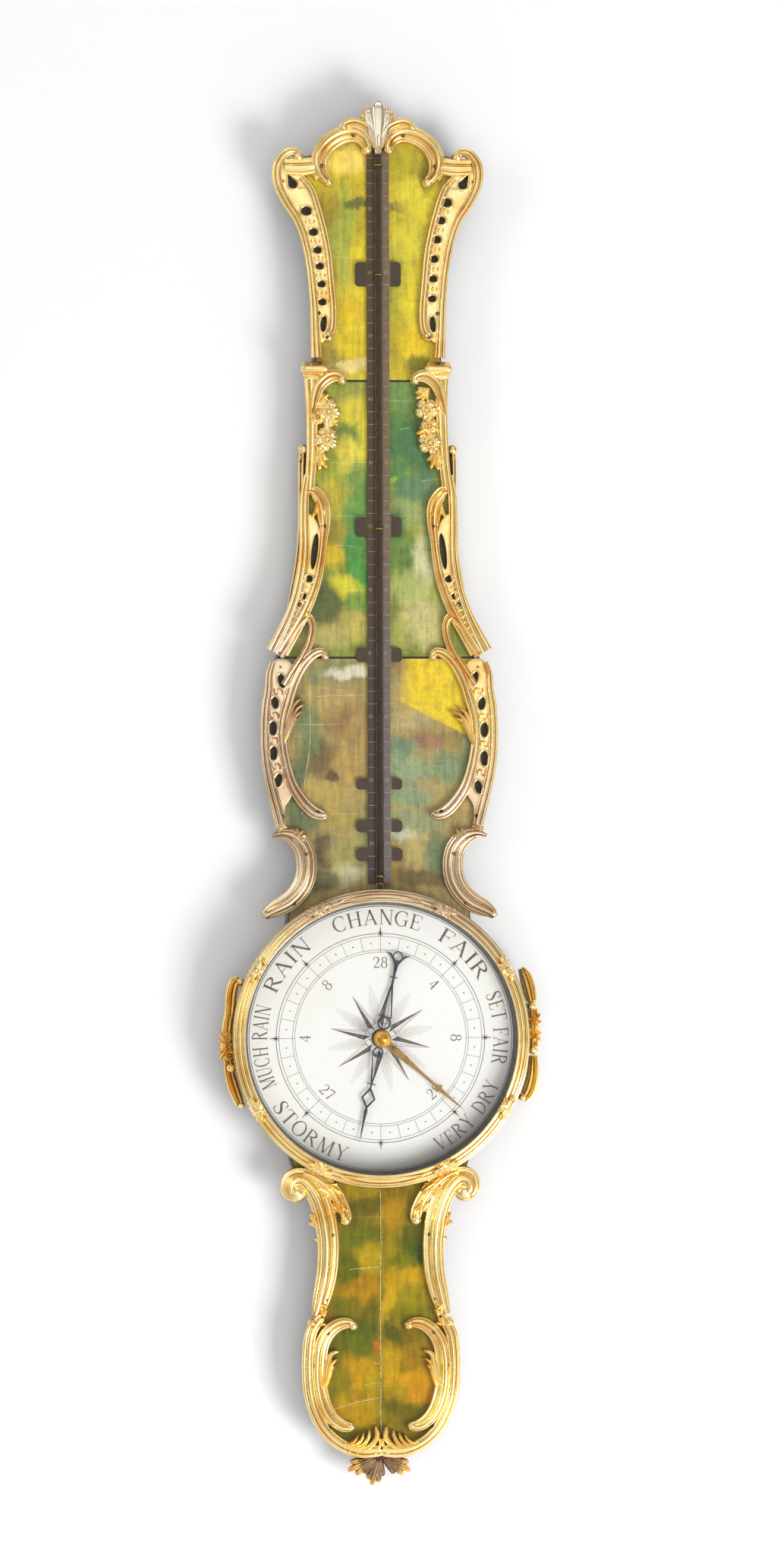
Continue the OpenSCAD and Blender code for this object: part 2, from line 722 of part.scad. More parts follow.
// Turn button, drawn with its pivot at the origin and its tip along x
module turn_button() {
    difference() {
        linear_extrude(button_t) hull() {
            circle(r = button_tail_r, $fn = 32);
            translate([button_reach * 0.55, 0]) circle(r = button_tail_r * 0.95, $fn = 32);
            translate([button_reach - 2.5, 0]) circle(r = 2.5, $fn = 32);
        }
        translate([0, 0, -1]) cylinder(r = screw_r + running_gap, h = button_t + 2);
    }
}

module turn_button_left() {
    color(iron) hang() translate([-button_x, button_y, button_z]) rotate(-button_angle) turn_button();
}

module turn_button_right() {
    color(iron) hang() translate([button_x, button_y, button_z]) rotate(-button_angle) turn_button();
}

module round_head_screw(length) {
    cylinder(r = screw_head_r, h = screw_head_t);
    cylinder(r = screw_r, h = length);
}

module rear_screws() {
    color(iron) hang() for (side = [-1, 1]) {
        translate([side * button_x, button_y, screw_z]) round_head_screw(screw_len);
        translate([side * hook_plate_w * 0.36, hook_y, screw_z]) round_head_screw(screw_len);
    }
}

module hanging_plate() {
    color(brass) hang() translate([0, hook_y, 0]) difference() {
        translate([-hook_plate_w / 2, -hook_plate_h / 2, 0])
            cube([hook_plate_w, hook_plate_h, hook_plate_t]);
        translate([0, 0, -1]) cylinder(r = hook_hole_r, h = hook_plate_t + 2);
        for (side = [-1, 1])
            translate([side * hook_plate_w * 0.36, 0, -1]) {
                cylinder(r = screw_r + seat_gap / 2, h = hook_plate_t + 2);
                cylinder(r = screw_head_r + seat_gap, h = 1 + screw_z + screw_head_t);
            }
    }
}

// Horn panels

// Horn between two heights and two sides, clear of the drum and the pins
module horn(x0, x1, y0, y1) {
    hang() difference() {
        translate([0, 0, case_depth]) linear_extrude(panel_t) intersection() {
            offset(delta = -panel_inset) union() {
                upper_outline();
                lower_outline();
            }
            translate([x0, y0]) square([x1 - x0, y1 - y0]);
        }
        translate([0, 0, case_depth - 1]) cylinder(r = drum_r + seat_gap, h = panel_t + 2);
        at_pins() translate([0, 0, case_depth - 1]) cylinder(r = pin_r + seat_gap / 4, h = panel_t + 2);
        at_plate_screws() translate([0, 0, case_depth - 1])
            cylinder(r = plate_screw_r + seat_gap / 4, h = panel_t + 2);
    }
}

module horn_panel_top() {
    color(horn_olive) horn(-belly_w, belly_w, joint_top_y + panel_joint / 2, 2 * upper_h);
}

module horn_panel_middle() {
    color(horn_green)
        horn(-belly_w, belly_w, joint_belly_y + panel_joint / 2, joint_top_y - panel_joint / 2);
}

module horn_panel_belly() {
    color(horn_tan) horn(-belly_w, belly_w, 0, joint_belly_y - panel_joint / 2);
}

module horn_panel_lower_left() {
    color(horn_olive) horn(-belly_w, -panel_seam / 2, -bezel_r - lower_h, 0);
}

module horn_panel_lower_right() {
    color(horn_olive) horn(panel_seam / 2, belly_w, -bezel_r - lower_h, 0);
}

// Cast mounts, drawn for the right-hand side

module crest_finial() {
    color(gilt) on_front() casting(crest_relief) difference() {
        union() {
            for (side = [-1, 1])
                scale([side, 1, 1]) {
                    leaf(up_path(finial_lobe_route), 0.75);
                    scroll(up_path(finial_curl_route), 1, leaf_section);
                    ball(28 * wide, up_y(732.8), 2.8, 1);
                }
            leaf(up_path(finial_leaf_route), 0.9);
        }
        for (side = [-1, 1])
            scale([side, 1, 1]) room_for(up_path(crest_arm_route));
        pin_holes(up([finial_pin]));
    }
}

module crest_arm() {
    on_front() casting(crest_relief) difference() {
        union() {
            scroll(up_path(crest_arm_route));
            scroll(up_path(crest_bar_route), 0.9);
            ball(9 * wide, up_y(713.5), 3.6, 1);
            ball(39.3 * wide, up_y(688), 3.6, 1);
        }
        translate([-plate_w, up_y(650), -1])
            cube([plate_w * 1.5 + room_gap, plate_top + room_gap - up_y(650), plate_t + room_gap + 1]);
        pin_holes(up(pins_upper));
    }
}

module crest_arm_left() {
    color(gilt) left_hand() crest_arm();
}

module crest_arm_right() {
    color(gilt) crest_arm();
}

module shoulder_mount(holes) {
    on_front() casting(rail_relief) difference() {
        union() {
            scroll(up_path(shoulder_outer_route));
            scroll(up_path(shoulder_inner_route), 0.85);
            ball(41 * wide, up_y(563.5), 4.3, 0.9);
            ground(up(shoulder_plate)) {
                drop_hole(
                    shoulder_drop.x * wide, up_y(shoulder_drop.y), 3.4, 12, shoulder_drop_turn
                );
                long_hole(shoulder_slot.x * wide, up_y(shoulder_slot.y), 2.4, 6, shoulder_slot_turn);
                for (h = holes)
                    translate([h.x * wide, up_y(h.y)]) circle(r = h[2], $fn = small_sides);
            }
        }
        room_for(up_path(crest_bar_route));
        pin_holes(up(pins_upper));
    }
}

module shoulder_mount_left() {
    color(gilt) left_hand() shoulder_mount(shoulder_holes_left);
}

module shoulder_mount_right() {
    color(gilt) shoulder_mount(shoulder_holes_right);
}

// Moulded block at the head of a pilaster
module capital() {
    translate([0, up_y(538)]) {
        linear_extrude(0.8 * $relief) polygon([[42, -4], [59.5, -4], [58, 0.5], [43.5, 0.5]] * wide);
        linear_extrude(0.9 * $relief) polygon([[39.5, 0.4], [61, 0.4], [61.5, 4], [52, 6.5], [40, 5]] * wide);
    }
}

module flower_mount(flowers, leaves) {
    on_front() casting(flower_relief) difference() {
        union() {
            capital();
            scroll(up_path(pilaster_route), 0.6);
            scroll(up_path(flower_scroll_route), 0.95);
            scroll(up_path(foot_outer_route), 0.75);
            scroll(up_path(foot_inner_route), 0.7);
            ground(up(foot_plate), 0.3) {
                long_hole(foot_slit.x * wide, up_y(foot_slit.y), 2.2, 14, foot_slit_turn);
                for (h = foot_holes)
                    translate([h.x * wide, up_y(h.y)]) circle(r = h[2], $fn = small_sides);
            }
            for (route = leaves)
                leaf(up_path(route), 0.8);
            leaf(up_path(flower_stem_route), 0.5);
            for (f = flowers)
                flower(f.x * wide, up_y(f.y), f[2]);
        }
        room_for(up_path(belly_hook_route));
        translate([0, 0, -1]) linear_extrude(3 * $relief)
            polygon([for (p = up_path(belly_hook_route)) [p.x, p.y]]);
        pin_holes(up(pins_upper));
    }
}

module flower_mount_left() {
    color(gilt) left_hand() flower_mount(flowers_left, flower_leaves_left);
}

module flower_mount_right() {
    color(gilt) flower_mount(flowers_right, flower_leaves_right);
}

module belly_mount(holes) {
    on_front() casting(rail_relief) difference() {
        union() {
            scroll(up_path(belly_outer_route));
            scroll(up_path(belly_inner_route), 0.9);
            scroll(up_path(belly_hook_route), 0.95);
            ground(up(belly_plate))
                for (h = holes)
                    long_hole(h.x * wide, up_y(h.y), h[2], h[3], h[4]);
            for (route = belly_sprig_routes)
                leaf(up_path(route), 0.8);
        }
        room_for(up_path(cup_route));
        pin_holes(up(pins_upper));
    }
}

module belly_mount_left() {
    color(pale_bronze) left_hand() belly_mount(belly_holes_left);
}

module belly_mount_right() {
    color(pale_bronze) belly_mount(belly_holes_right);
}

module cup_scroll() {
    on_front() casting(rail_relief) difference() {
        union() {
            scroll(up_path(cup_route));
            leaf(up_path(cup_shell_route), 1);
        }
        pin_holes(up(pins_upper));
    }
}

module cup_scroll_left() {
    color(pale_bronze) left_hand() cup_scroll();
}

module cup_scroll_right() {
    color(pale_bronze) cup_scroll();
}

// Crescent that follows the side of the case between two heights
module side_crescent(y0, y1) {
    inner = [for (p = smooth(up(case_upper), 2)) if (p.y > y0 && p.y < y1) p];
    last = len(inner) - 1;
    outer = [
        for (i = [0 : last])
            let (d = heading(inner, i))
            inner[i] + [-d.y, d.x] * side_t * (0.25 + 0.75 * sin(180 * i / last))
    ];
    translate([0, 0, case_depth / 2]) linear_extrude(case_depth / 2 + panel_t)
        polygon(concat(inner, [for (i = [last : -1 : 0]) outer[i]]));
}

module side_moulding() {
    hang() {
        side_crescent(up_y(330), up_y(482));
        side_crescent(up_y(190), up_y(302));
    }
}

module side_moulding_left() {
    color(gilt) left_hand() side_moulding();
}

module side_moulding_right() {
    color(gilt) side_moulding();
}

module dial_garland(turn) {
    hang() translate([0, 0, garland_back]) casting(garland_relief) difference() {
        union() {
            scroll(round_route(garland_r, garland_stem, turn), 0.85, leaf_section);
            rotate(turn - 24) rotate_extrude(angle = 48, $fn = 72)
                translate([drum_r + seat_gap, 0])
                    square([garland_r - drum_r - seat_gap, 0.5 * $relief]);
            for (a = garland_flower_angles)
                flower(garland_r * cos(a + turn), garland_r * sin(a + turn), 4.8);
        }
        translate([0, 0, skirt_back - seat_gap - garland_back]) cylinder(r = bezel_r + 1, h = 60, $fn = 72);
        for (a = garland_pin_angles)
            rotate(a + turn) translate([drum_r, 0, garland_pin_z - garland_back]) rotate([0, 90, 0]) {
                cylinder(r = pin_r + seat_gap, h = 30, $fn = 6);
                translate([0, 0, garland_r - drum_r]) cylinder(r = pin_head_r + 0.4, h = 30, $fn = 6);
            }
    }
}

module dial_garland_left() {
    color(gilt) left_hand() dial_garland(garland_turn_left);
}

module dial_garland_right() {
    color(gilt) dial_garland(garland_turn_right);
}

module lower_scroll() {
    on_front() casting(rail_relief + 1) difference() {
        union() {
            scroll(down_path(lower_scroll_route));
            scroll(down_path(lower_leaf_route), 0.85);
            ball(66 * wide, down_y(-130.5), 4, 1);
            for (route = lower_scroll_spurs)
                leaf(down_path(route), 0.7);
        }
        cylinder(r = bezel_r + 0.8, h = 30, $fn = 72);
        pin_holes(down(pins_lower));
    }
}

module lower_scroll_left() {
    color(gilt) left_hand() lower_scroll();
}

module lower_scroll_right() {
    color(gilt) lower_scroll();
}

module lower_frame() {
    on_front() casting(rail_relief) difference() {
        union() {
            scroll(down_path(frame_outer_route));
            scroll(down_path(frame_inner_route), 0.9);
            for (route = concat(frame_sprig_routes, frame_finger_routes))
                leaf(down_path(route), 0.85);
        }
        translate([-20 + panel_seam / 4, -2 * lower_h - bezel_r, -1]) cube([20, 3 * lower_h, 30]);
        lower_scroll_room();
        pin_holes(down(pins_lower));
    }
}

// Room at the head of the frame for the end of the scroll above it
module lower_scroll_room() {
    translate([44.5 * wide, down_y(-224.6)]) rotate(15.7) translate([-4, 0, -1]) cube([60, 60, 30]);
}

module lower_frame_left() {
    color(gilt) left_hand() lower_frame();
}

module lower_frame_right() {
    color(gilt) lower_frame();
}

module tail_leaf() {
    foot = down_y(-337);
    color("#6b5443") hang() {
        translate([0, 0, tail_back]) casting(tail_relief) difference() {
            for (route = tail_routes)
                leaf(down_path(route), 1);
            translate([-bezel_r, foot - 0.9, -1]) cube([2 * bezel_r, 20, 60]);
        }
        upright(0, peg_z, foot - 4, foot + peg_len, peg_r);
    }
}

module round_head_pin(length) {
    translate([0, 0, -length]) cylinder(r = pin_r, h = length);
    cylinder(r = pin_head_r, h = pin_head_t);
}

module mount_pins() {
    color(brass) hang() {
        at_pins() translate([0, 0, panel_front + pin_sink]) round_head_pin(pin_len);
        for (a = garland_pin_angles) {
            rotate(a + garland_turn_right) translate([garland_r, 0, garland_pin_z])
                rotate([0, 90, 0]) round_head_pin(pin_len);
            rotate(180 - a - garland_turn_left) translate([garland_r, 0, garland_pin_z])
                rotate([0, 90, 0]) round_head_pin(pin_len);
        }
    }
}

// Dial, bezel and glass

// Section of the bezel: distance from the axis, height above the front of the drum
module bezel_section() {
    translate([0, drum_front]) {
        polygon([
            [drum_r + seat_gap, 0], [drum_r + seat_gap, skirt_back - drum_front],
            [skirt_r, skirt_back - drum_front], [skirt_r, -2], [bezel_r - 0.2, 0],
            [bezel_r - 0.2, 4], [bezel_r - 2.2, 6.5], [bezel_r - 5.8, 7.4],
            [opening_r + 2.2, 8.4], [opening_r, 7], [opening_r, glass_front - drum_front],
            [pocket_r, glass_front - drum_front], [pocket_r, 0]
        ]);
        translate([bezel_r - 1.8, 3.4]) circle(r = 1.8, $fn = 32);
        translate([bezel_r - 4.3, 6.4]) circle(r = 1.7, $fn = 32);
        translate([opening_r + 2.2, 7.8]) circle(r = 2.1, $fn = 32);
    }
}

// Angles of the leaves that wrap the bezel, anticlockwise from the right
bezel_leaf_angles = [-64, -29, 29, 64, 116, 151, 209, 244];
bezel_leaf_span = 15;

// Leaf that wraps the reeds of the bezel
module bezel_leaf() {
    rotate_extrude(angle = bezel_leaf_span)
        translate([0, drum_front])
            polygon([
                [bezel_r - 2, 1], [bezel_r + 0.5, 1], [bezel_r + 0.5, 4.5], [bezel_r - 2.5, 8.2],
                [bezel_r - 6, 9.6], [opening_r + 1, 9.8], [opening_r + 1, 6]
            ]);
}

module bezel_ring() {
    color(gilt) hang() difference() {
        union() {
            rotate_extrude($fn = 180) bezel_section();
            for (a = bezel_leaf_angles)
                rotate(a - bezel_leaf_span / 2) bezel_leaf();
        }
        for (a = [45 : 90 : 315])
            rotate(a)
                translate([drum_r - 1, 0, skirt_back + 4])
                    rotate([0, 90, 0]) cylinder(r = pin_r + seat_gap / 4, h = 10);
    }
}

module dial_glass() {
    color(glass, 0.3) hang() translate([0, 0, glass_back]) difference() {
        cylinder(r = glass_r, h = glass_t);
        translate([0, 0, -1]) cylinder(r = arbor_r + 1.2, h = glass_t + 2);
    }
}

module glass_retaining_ring() {
    color(brass) hang() translate([0, 0, glass_back - ring_t]) difference() {
        cylinder(r = pocket_r - seat_gap / 2, h = ring_t);
        translate([0, 0, -1]) cylinder(r = opening_r + 0.5, h = ring_t + 2);
    }
}

module dial_plate() {
    color("white") hang() translate([0, 0, dial_seat]) difference() {
        cylinder(r = dial_r, h = dial_t);
        translate([0, 0, -1]) cylinder(r = arbor_r + running_gap, h = dial_t + 2);
        for (side = [-1, 1])
            translate([side * bridge_x, 0, -1]) cylinder(r = bridge_screw_r, h = dial_t);
        for (a = [45 : 90 : 315])
            rotate(a) translate([dial_pin_x, 0, -1]) cylinder(r = pin_r + seat_gap / 4, h = dial_t + 2);
    }
}

// Pins of one size: four hold the dial to the drum and four hold the bezel round it
module dial_pins() {
    color(brass) hang() for (a = [45 : 90 : 315])
        rotate(a) {
            translate([dial_pin_x, 0, dial_front]) dial_pin();
            translate([skirt_r, 0, skirt_back + 4]) rotate([0, 90, 0]) dial_pin();
        }
}

module dial_pin() {
    translate([0, 0, -dial_pin_len]) cylinder(r = pin_r, h = dial_pin_len);
    cylinder(r = pin_head_r, h = dial_pin_head_t);
}

// Hands, drawn pointing up

// Tapering frame of two fine bars between two heights
module open_taper(y0, y1, w0, w1, bar) {
    difference() {
        polygon([[-w0 / 2, y0], [w0 / 2, y0], [w1 / 2, y1], [-w1 / 2, y1]]);
        polygon([
            [-w0 / 2 + bar, y0 + bar], [w0 / 2 - bar, y0 + bar], [0.01, y1 - 3 * bar], [-0.01, y1 - 3 * bar]
        ]);
    }
}

module ring_2d(y, r, bar) {
    translate([0, y]) difference() {
        circle(r = r, $fn = 32);
        circle(r = r - bar, $fn = 32);
    }
}

// Lozenge with hollow sides between two heights
module lozenge(y0, y1, half_w, bar) {
    mid = (y0 + y1) / 2;
    difference() {
        polygon([
            [0, y0], [half_w * 0.4, (y0 + mid) / 2 - 1], [half_w, mid], [half_w * 0.4, (y1 + mid) / 2 + 1],
            [0, y1], [-half_w * 0.4, (y1 + mid) / 2 + 1], [-half_w, mid], [-half_w * 0.4, (y0 + mid) / 2 - 1]
        ]);
        polygon([
            [0, y0 + 3 * bar], [half_w - 1.8 * bar, mid], [0, y1 - 3 * bar], [-half_w + 1.8 * bar, mid]
        ]);
    }
}

module index_outline() {
    hub_r = 7.5;
    circle(r = hub_r);
    ring_2d(11.5, 4.4, 1.2);
    open_taper(13.5, 37, 8.6, 1.6, 0.9);
    translate([-3.5, 37]) square([7, 0.9]);
    translate([-0.6, 37]) square([1.2, 4]);
    lozenge(40, 58, 5.8, 0.9);
    polygon([[-0.6, 56], [-1.4, 60], [-1.1, 63], [0, index_len], [1.1, 63], [1.4, 60], [0.6, 56]]);
    ring_2d(-12.6, 5.6, 1.5);
    scale([1, -1]) {
        open_taper(17, 43, 10.6, 2.2, 1.1);
        translate([-1, 41]) square([2, 10]);
        translate([-3, 49.5]) square([6, 0.9]);
        polygon([[-0.9, 50], [0.9, 50], [1.7, 60], [4, 64], [-4, 64], [-1.7, 60]]);
        ring_2d(67, 4.2, 1);
        for (side = [-1, 1])
            polygon([[side * 2.4, 62], [side * 6, 66.5], [side * 10.5, 69.5], [side * 5.4, 68.4], [side * 3.2, 66]]);
    }
}

module index_hand() {
    color(steel) hang() translate([0, 0, index_z]) rotate(-index_rest) difference() {
        union() {
            linear_extrude(hand_t) index_outline();
            cylinder(r = 3, h = hand_t + 0.5);
        }
        translate([0, 0, -1]) cylinder(r = arbor_r, h = 5);
    }
}

module set_outline() {
    polygon([
        [-2.2, -3], [2.2, -3], [3.1, 16], [1.5, 38], [0.8, 57], [3.8, 62], [1.5, 63], [1.4, 66],
        [0, set_len], [-1.4, 66], [-1.5, 63], [-3.8, 62], [-0.8, 57], [-1.5, 38], [-3.1, 16]
    ]);
    circle(r = 5);
}

module set_hand() {
    color(brass) hang() translate([0, 0, set_z]) rotate(-set_rest) difference() {
        linear_extrude(hand_t) set_outline();
        translate([0, 0, -1]) cylinder(r = arbor_r, h = 5);
    }
}

module set_knob() {
    base = glass_front + 1.2;
    color(brass) hang() {
        translate([0, 0, set_z - 0.3]) cylinder(r = arbor_r, h = base - set_z + 1);
        translate([0, 0, base]) rotate_extrude()
            polygon([
                [0, 0], [knob_r * 0.6, 0], [knob_r * 0.6, 0.8], [knob_r - 0.5, 1.2], [knob_r, 1.8],
                [knob_r, knob_h - 2], [knob_r - 0.9, knob_h - 0.7], [knob_r * 0.55, knob_h - 0.4],
                [knob_r * 0.5, knob_h - 0.8], [0, knob_h]
            ]);
    }
}

module knob_bush() {
    color(brass) hang() difference() {
        union() {
            translate([0, 0, glass_back - 1]) cylinder(r = arbor_r + 2.6, h = 1);
            translate([0, 0, glass_back - 1]) cylinder(r = arbor_r + 1.1, h = glass_t + 1.8);
            translate([0, 0, glass_front]) cylinder(r = arbor_r + 3, h = 0.8);
        }
        translate([0, 0, glass_back - 2]) cylinder(r = arbor_r + running_gap, h = glass_t + 6);
    }
}

// Movement

module index_arbor() {
    color(steel) hang() {
        translate([0, 0, bridge_z - 0.5]) cylinder(r = pivot_r, h = bridge_t + 1);
        translate([0, 0, bridge_z + bridge_t + 0.2])
            cylinder(r = arbor_r, h = index_z + hand_t + 0.8 - bridge_z - bridge_t - 0.2);
    }
}

module thread_pulley() {
    flange_r = pulley_r + 2.2;
    color(brass) hang() difference() {
        translate([0, 0, movement_z]) rotate_extrude() polygon([
            [0, -2.4], [flange_r, -2.4], [flange_r, -1.6], [pulley_r - thread_r - 0.05, -0.6],
            [pulley_r - thread_r - 0.05, 0.6], [flange_r, 1.6], [flange_r, 2.4], [0, 2.4]
        ]);
        cylinder(r = arbor_r, h = case_depth);
    }
}

module arbor_bridge() {
    color(brass) hang() difference() {
        union() {
            translate([-bridge_x - 5, -bridge_w / 2, bridge_z]) cube([2 * bridge_x + 10, bridge_w, bridge_t]);
            for (side = [-1, 1])
                translate([side * bridge_x, 0, bridge_z]) cylinder(r = pillar_r, h = dial_seat - bridge_z);
        }
        translate([0, 0, bridge_z - 1]) cylinder(r = pivot_r + running_gap, h = bridge_t + 2);
        for (side = [-1, 1])
            translate([side * bridge_x, 0, bridge_z - 1])
                cylinder(r = bridge_screw_r + seat_gap / 4, h = dial_seat);
    }
}

module bridge_screws() {
    color(steel) hang() for (side = [-1, 1])
        translate([side * bridge_x, 0, bridge_z - 1]) {
            cylinder(r = bridge_screw_r * 2, h = 1);
            cylinder(r = bridge_screw_r, h = dial_seat + dial_t / 2 - bridge_z + 1);
        }
}

// Cone between the narrow and the wide part of a leg, from its lower end
module leg_cone(x, y, low_r, high_r) {
    translate([x, y, movement_z]) rotate([-90, 0, 0]) cylinder(r1 = low_r, r2 = high_r, h = cistern_cone);
}

// Shape of the siphon: two narrow legs joined by a bend
module narrow_siphon(r) {
    upright(leg_x, movement_z, bend_y, chamber_foot - cistern_cone, r);
    translate([(leg_x + pulley_r) / 2, bend_y, movement_z])
        rotate(180) rotate_extrude(angle = 180) translate([bend_r, 0]) circle(r = r, $fn = 32);
    upright(pulley_r, movement_z, bend_y, cistern_foot - cistern_cone, r);
}

module siphon_tube() {
    color(glass, 0.35) hang() difference() {
        union() {
            narrow_siphon(leg_r);
            leg_cone(leg_x, chamber_foot - cistern_cone, leg_r, cistern_r);
            leg_cone(pulley_r, cistern_foot - cistern_cone, leg_r, cistern_r);
            upright(leg_x, movement_z, chamber_foot, tube_top, cistern_r);
            upright(pulley_r, movement_z, cistern_foot, cistern_top, cistern_r);
        }
        narrow_siphon(leg_bore_r);
        leg_cone(leg_x, chamber_foot - cistern_cone, leg_bore_r, cistern_bore_r);
        leg_cone(pulley_r, cistern_foot - cistern_cone, leg_bore_r, cistern_bore_r);
        upright(leg_x, movement_z, chamber_foot, tube_top - 2, cistern_bore_r);
        upright(pulley_r, movement_z, cistern_foot, cistern_top + 1, cistern_bore_r);
    }
}

// Mercury below both wide legs
module mercury_column() {
    color(mercury) hang() {
        narrow_siphon(leg_bore_r - mercury_film);
        leg_cone(
            leg_x, chamber_foot - cistern_cone, leg_bore_r - mercury_film,
            cistern_bore_r - mercury_film
        );
        leg_cone(
            pulley_r, cistern_foot - cistern_cone, leg_bore_r - mercury_film,
            cistern_bore_r - mercury_film
        );
    }
}

// Mercury in the wide top of the long leg
module mercury_long_column() {
    color(mercury) hang()
        upright(leg_x, movement_z, chamber_foot, mercury_top, cistern_bore_r - mercury_film);
}

// Mercury in the open short leg
module mercury_short_column() {
    color(mercury) hang()
        upright(pulley_r, movement_z, cistern_foot, mercury_level, cistern_bore_r - mercury_film);
}

module float() {
    color(iron) hang() {
        upright(pulley_r, movement_z, float_bottom, float_top - 3, float_r);
        translate([pulley_r, float_top - 3, movement_z])
            rotate([-90, 0, 0]) cylinder(r1 = float_r, r2 = 1, h = 3);
    }
}

module float_thread() {
    color("ivory") hang() upright(pulley_r, movement_z, float_top, 0, thread_r);
}

module counterweight() {
    color(brass) hang() {
        upright(
            -pulley_r, movement_z, counterweight_top - counterweight_len, counterweight_top - 3,
            counterweight_r
        );
        translate([-pulley_r, counterweight_top - 3, movement_z])
            rotate([-90, 0, 0]) cylinder(r1 = counterweight_r, r2 = 0.8, h = 3);
    }
}

module counterweight_thread() {
    color("ivory") hang() upright(-pulley_r, movement_z, counterweight_top, 0, thread_r);
}

// Saddle that holds a leg of the tube to the front board of the case
module tube_clip(x, y, r) {
    wall = 1.3;
    translate([x, y, 0]) difference() {
        translate([-r - wall, 0, movement_z - r - wall])
            cube([2 * r + 2 * wall, 9, channel_front - movement_z + r + wall]);
        translate([0, -1, movement_z]) rotate([-90, 0, 0]) cylinder(r = r + running_gap, h = 11);
    }
}

module tube_clips() {
    color("#8a6a45") hang() {
        for (y = [up_y(340), up_y(128), down_y(-205)])
            tube_clip(leg_x, y, leg_r);
        tube_clip(leg_x, tube_top - 90, cistern_r);
        tube_clip(pulley_r, cistern_top - 92, cistern_r);
    }
}

// Thermometer

module thermometer_plate() {
    color(slate) on_front() difference() {
        linear_extrude(plate_t) {
            translate([-plate_w / 2, plate_bottom]) square([plate_w, plate_top - plate_bottom]);
            for (lug = lugs)
                translate([-lug_w / 2 + lug_corner_r, up_y(lug[0]) + lug_corner_r])
                    offset(r = lug_corner_r, $fn = 24)
                        square([lug_w - 2 * lug_corner_r, up_y(lug[1]) - up_y(lug[0]) - 2 * lug_corner_r]);
        }
        translate([-groove_w / 2, plate_bottom - 1, plate_t - groove_depth])
            cube([groove_w, plate_top - plate_bottom + 2, groove_depth + 1]);
        translate([0, 0, -panel_front]) at_plate_screws()
            cylinder(r = plate_screw_r, h = panel_front + plate_t - 0.9);
        for (y = tie_heights)
            for (side = [-1, 1])
                translate([side * (stem_r + tie_wire_r + seat_gap), up_y(y), -1])
                    cylinder(r = tie_wire_r + seat_gap / 2, h = plate_t + 2, $fn = 16);
    }
}

module plate_screws() {
    color(iron) hang() at_plate_screws() {
        translate([0, 0, channel_front - plate_screw_head_t])
            cylinder(r = plate_screw_head_r, h = plate_screw_head_t);
        translate([0, 0, channel_front - 0.1])
            cylinder(r = plate_screw_r, h = panel_front + plate_t - 0.8 - channel_front);
    }
}

module thermometer_tube() {
    color(glass, 0.4) hang() difference() {
        union() {
            upright(0, stem_z, stem_bottom, stem_top - stem_r, stem_r);
            for (y = [stem_bottom, stem_top - stem_r])
                translate([0, y, stem_z]) sphere(r = stem_r);
        }
        upright(0, stem_z, stem_bottom, stem_top - stem_r, stem_bore_r);
    }
}

module thermometer_spirit() {
    color("#3a2f2a") hang() upright(0, stem_z, stem_bottom, spirit_top, stem_bore_r - mercury_film);
}

// Wire staple that ties the thermometer tube down to its plate
module tube_tie(y) {
    loop_r = stem_r + tie_wire_r + seat_gap;
    translate([0, y, stem_z])
        rotate([90, 0, 0]) rotate_extrude(angle = 180) translate([loop_r, 0]) circle(r = tie_wire_r, $fn = 16);
    for (side = [-1, 1])
        translate([side * loop_r, y, panel_front + 0.2]) cylinder(r = tie_wire_r, h = stem_z - panel_front - 0.2);
}

module tube_ties() {
    color(brass) hang() for (y = tie_heights)
        tube_tie(up_y(y));
}

case_carcass();
dial_drum();
rear_cover();
turn_button_left();
turn_button_right();
rear_screws();
hanging_plate();
horn_panel_top();
horn_panel_middle();
horn_panel_belly();
horn_panel_lower_left();
horn_panel_lower_right();
crest_finial();
crest_arm_left();
crest_arm_right();
shoulder_mount_left();
shoulder_mount_right();
flower_mount_left();
flower_mount_right();
belly_mount_left();
belly_mount_right();
cup_scroll_left();
cup_scroll_right();
side_moulding_left();
side_moulding_right();
dial_garland_left();
dial_garland_right();
lower_scroll_left();
lower_scroll_right();
lower_frame_left();
lower_frame_right();
tail_leaf();
mount_pins();
bezel_ring();
dial_glass();
glass_retaining_ring();
dial_plate();
dial_pins();
plate_screws();
index_hand();
index_arbor();
thread_pulley();
arbor_bridge();
bridge_screws();
set_hand();
set_knob();
knob_bush();
siphon_tube();
mercury_column();
mercury_long_column();
mercury_short_column();
float();
float_thread();
counterweight();
counterweight_thread();
tube_clips();
thermometer_plate();
thermometer_tube();
thermometer_spirit();
tube_ties();
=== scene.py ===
"""Looks of the wall barometer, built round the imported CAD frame.

Places are written as the maker measures them, in millimetres: x to the right and
y up from the centre of the dial, z out from the wall.
"""

import logging
import math
from dataclasses import dataclass, field
from enum import Enum
from typing import Callable, Iterable, Sequence

import bmesh
import bpy
import numpy as np
from mathutils import Matrix, Vector


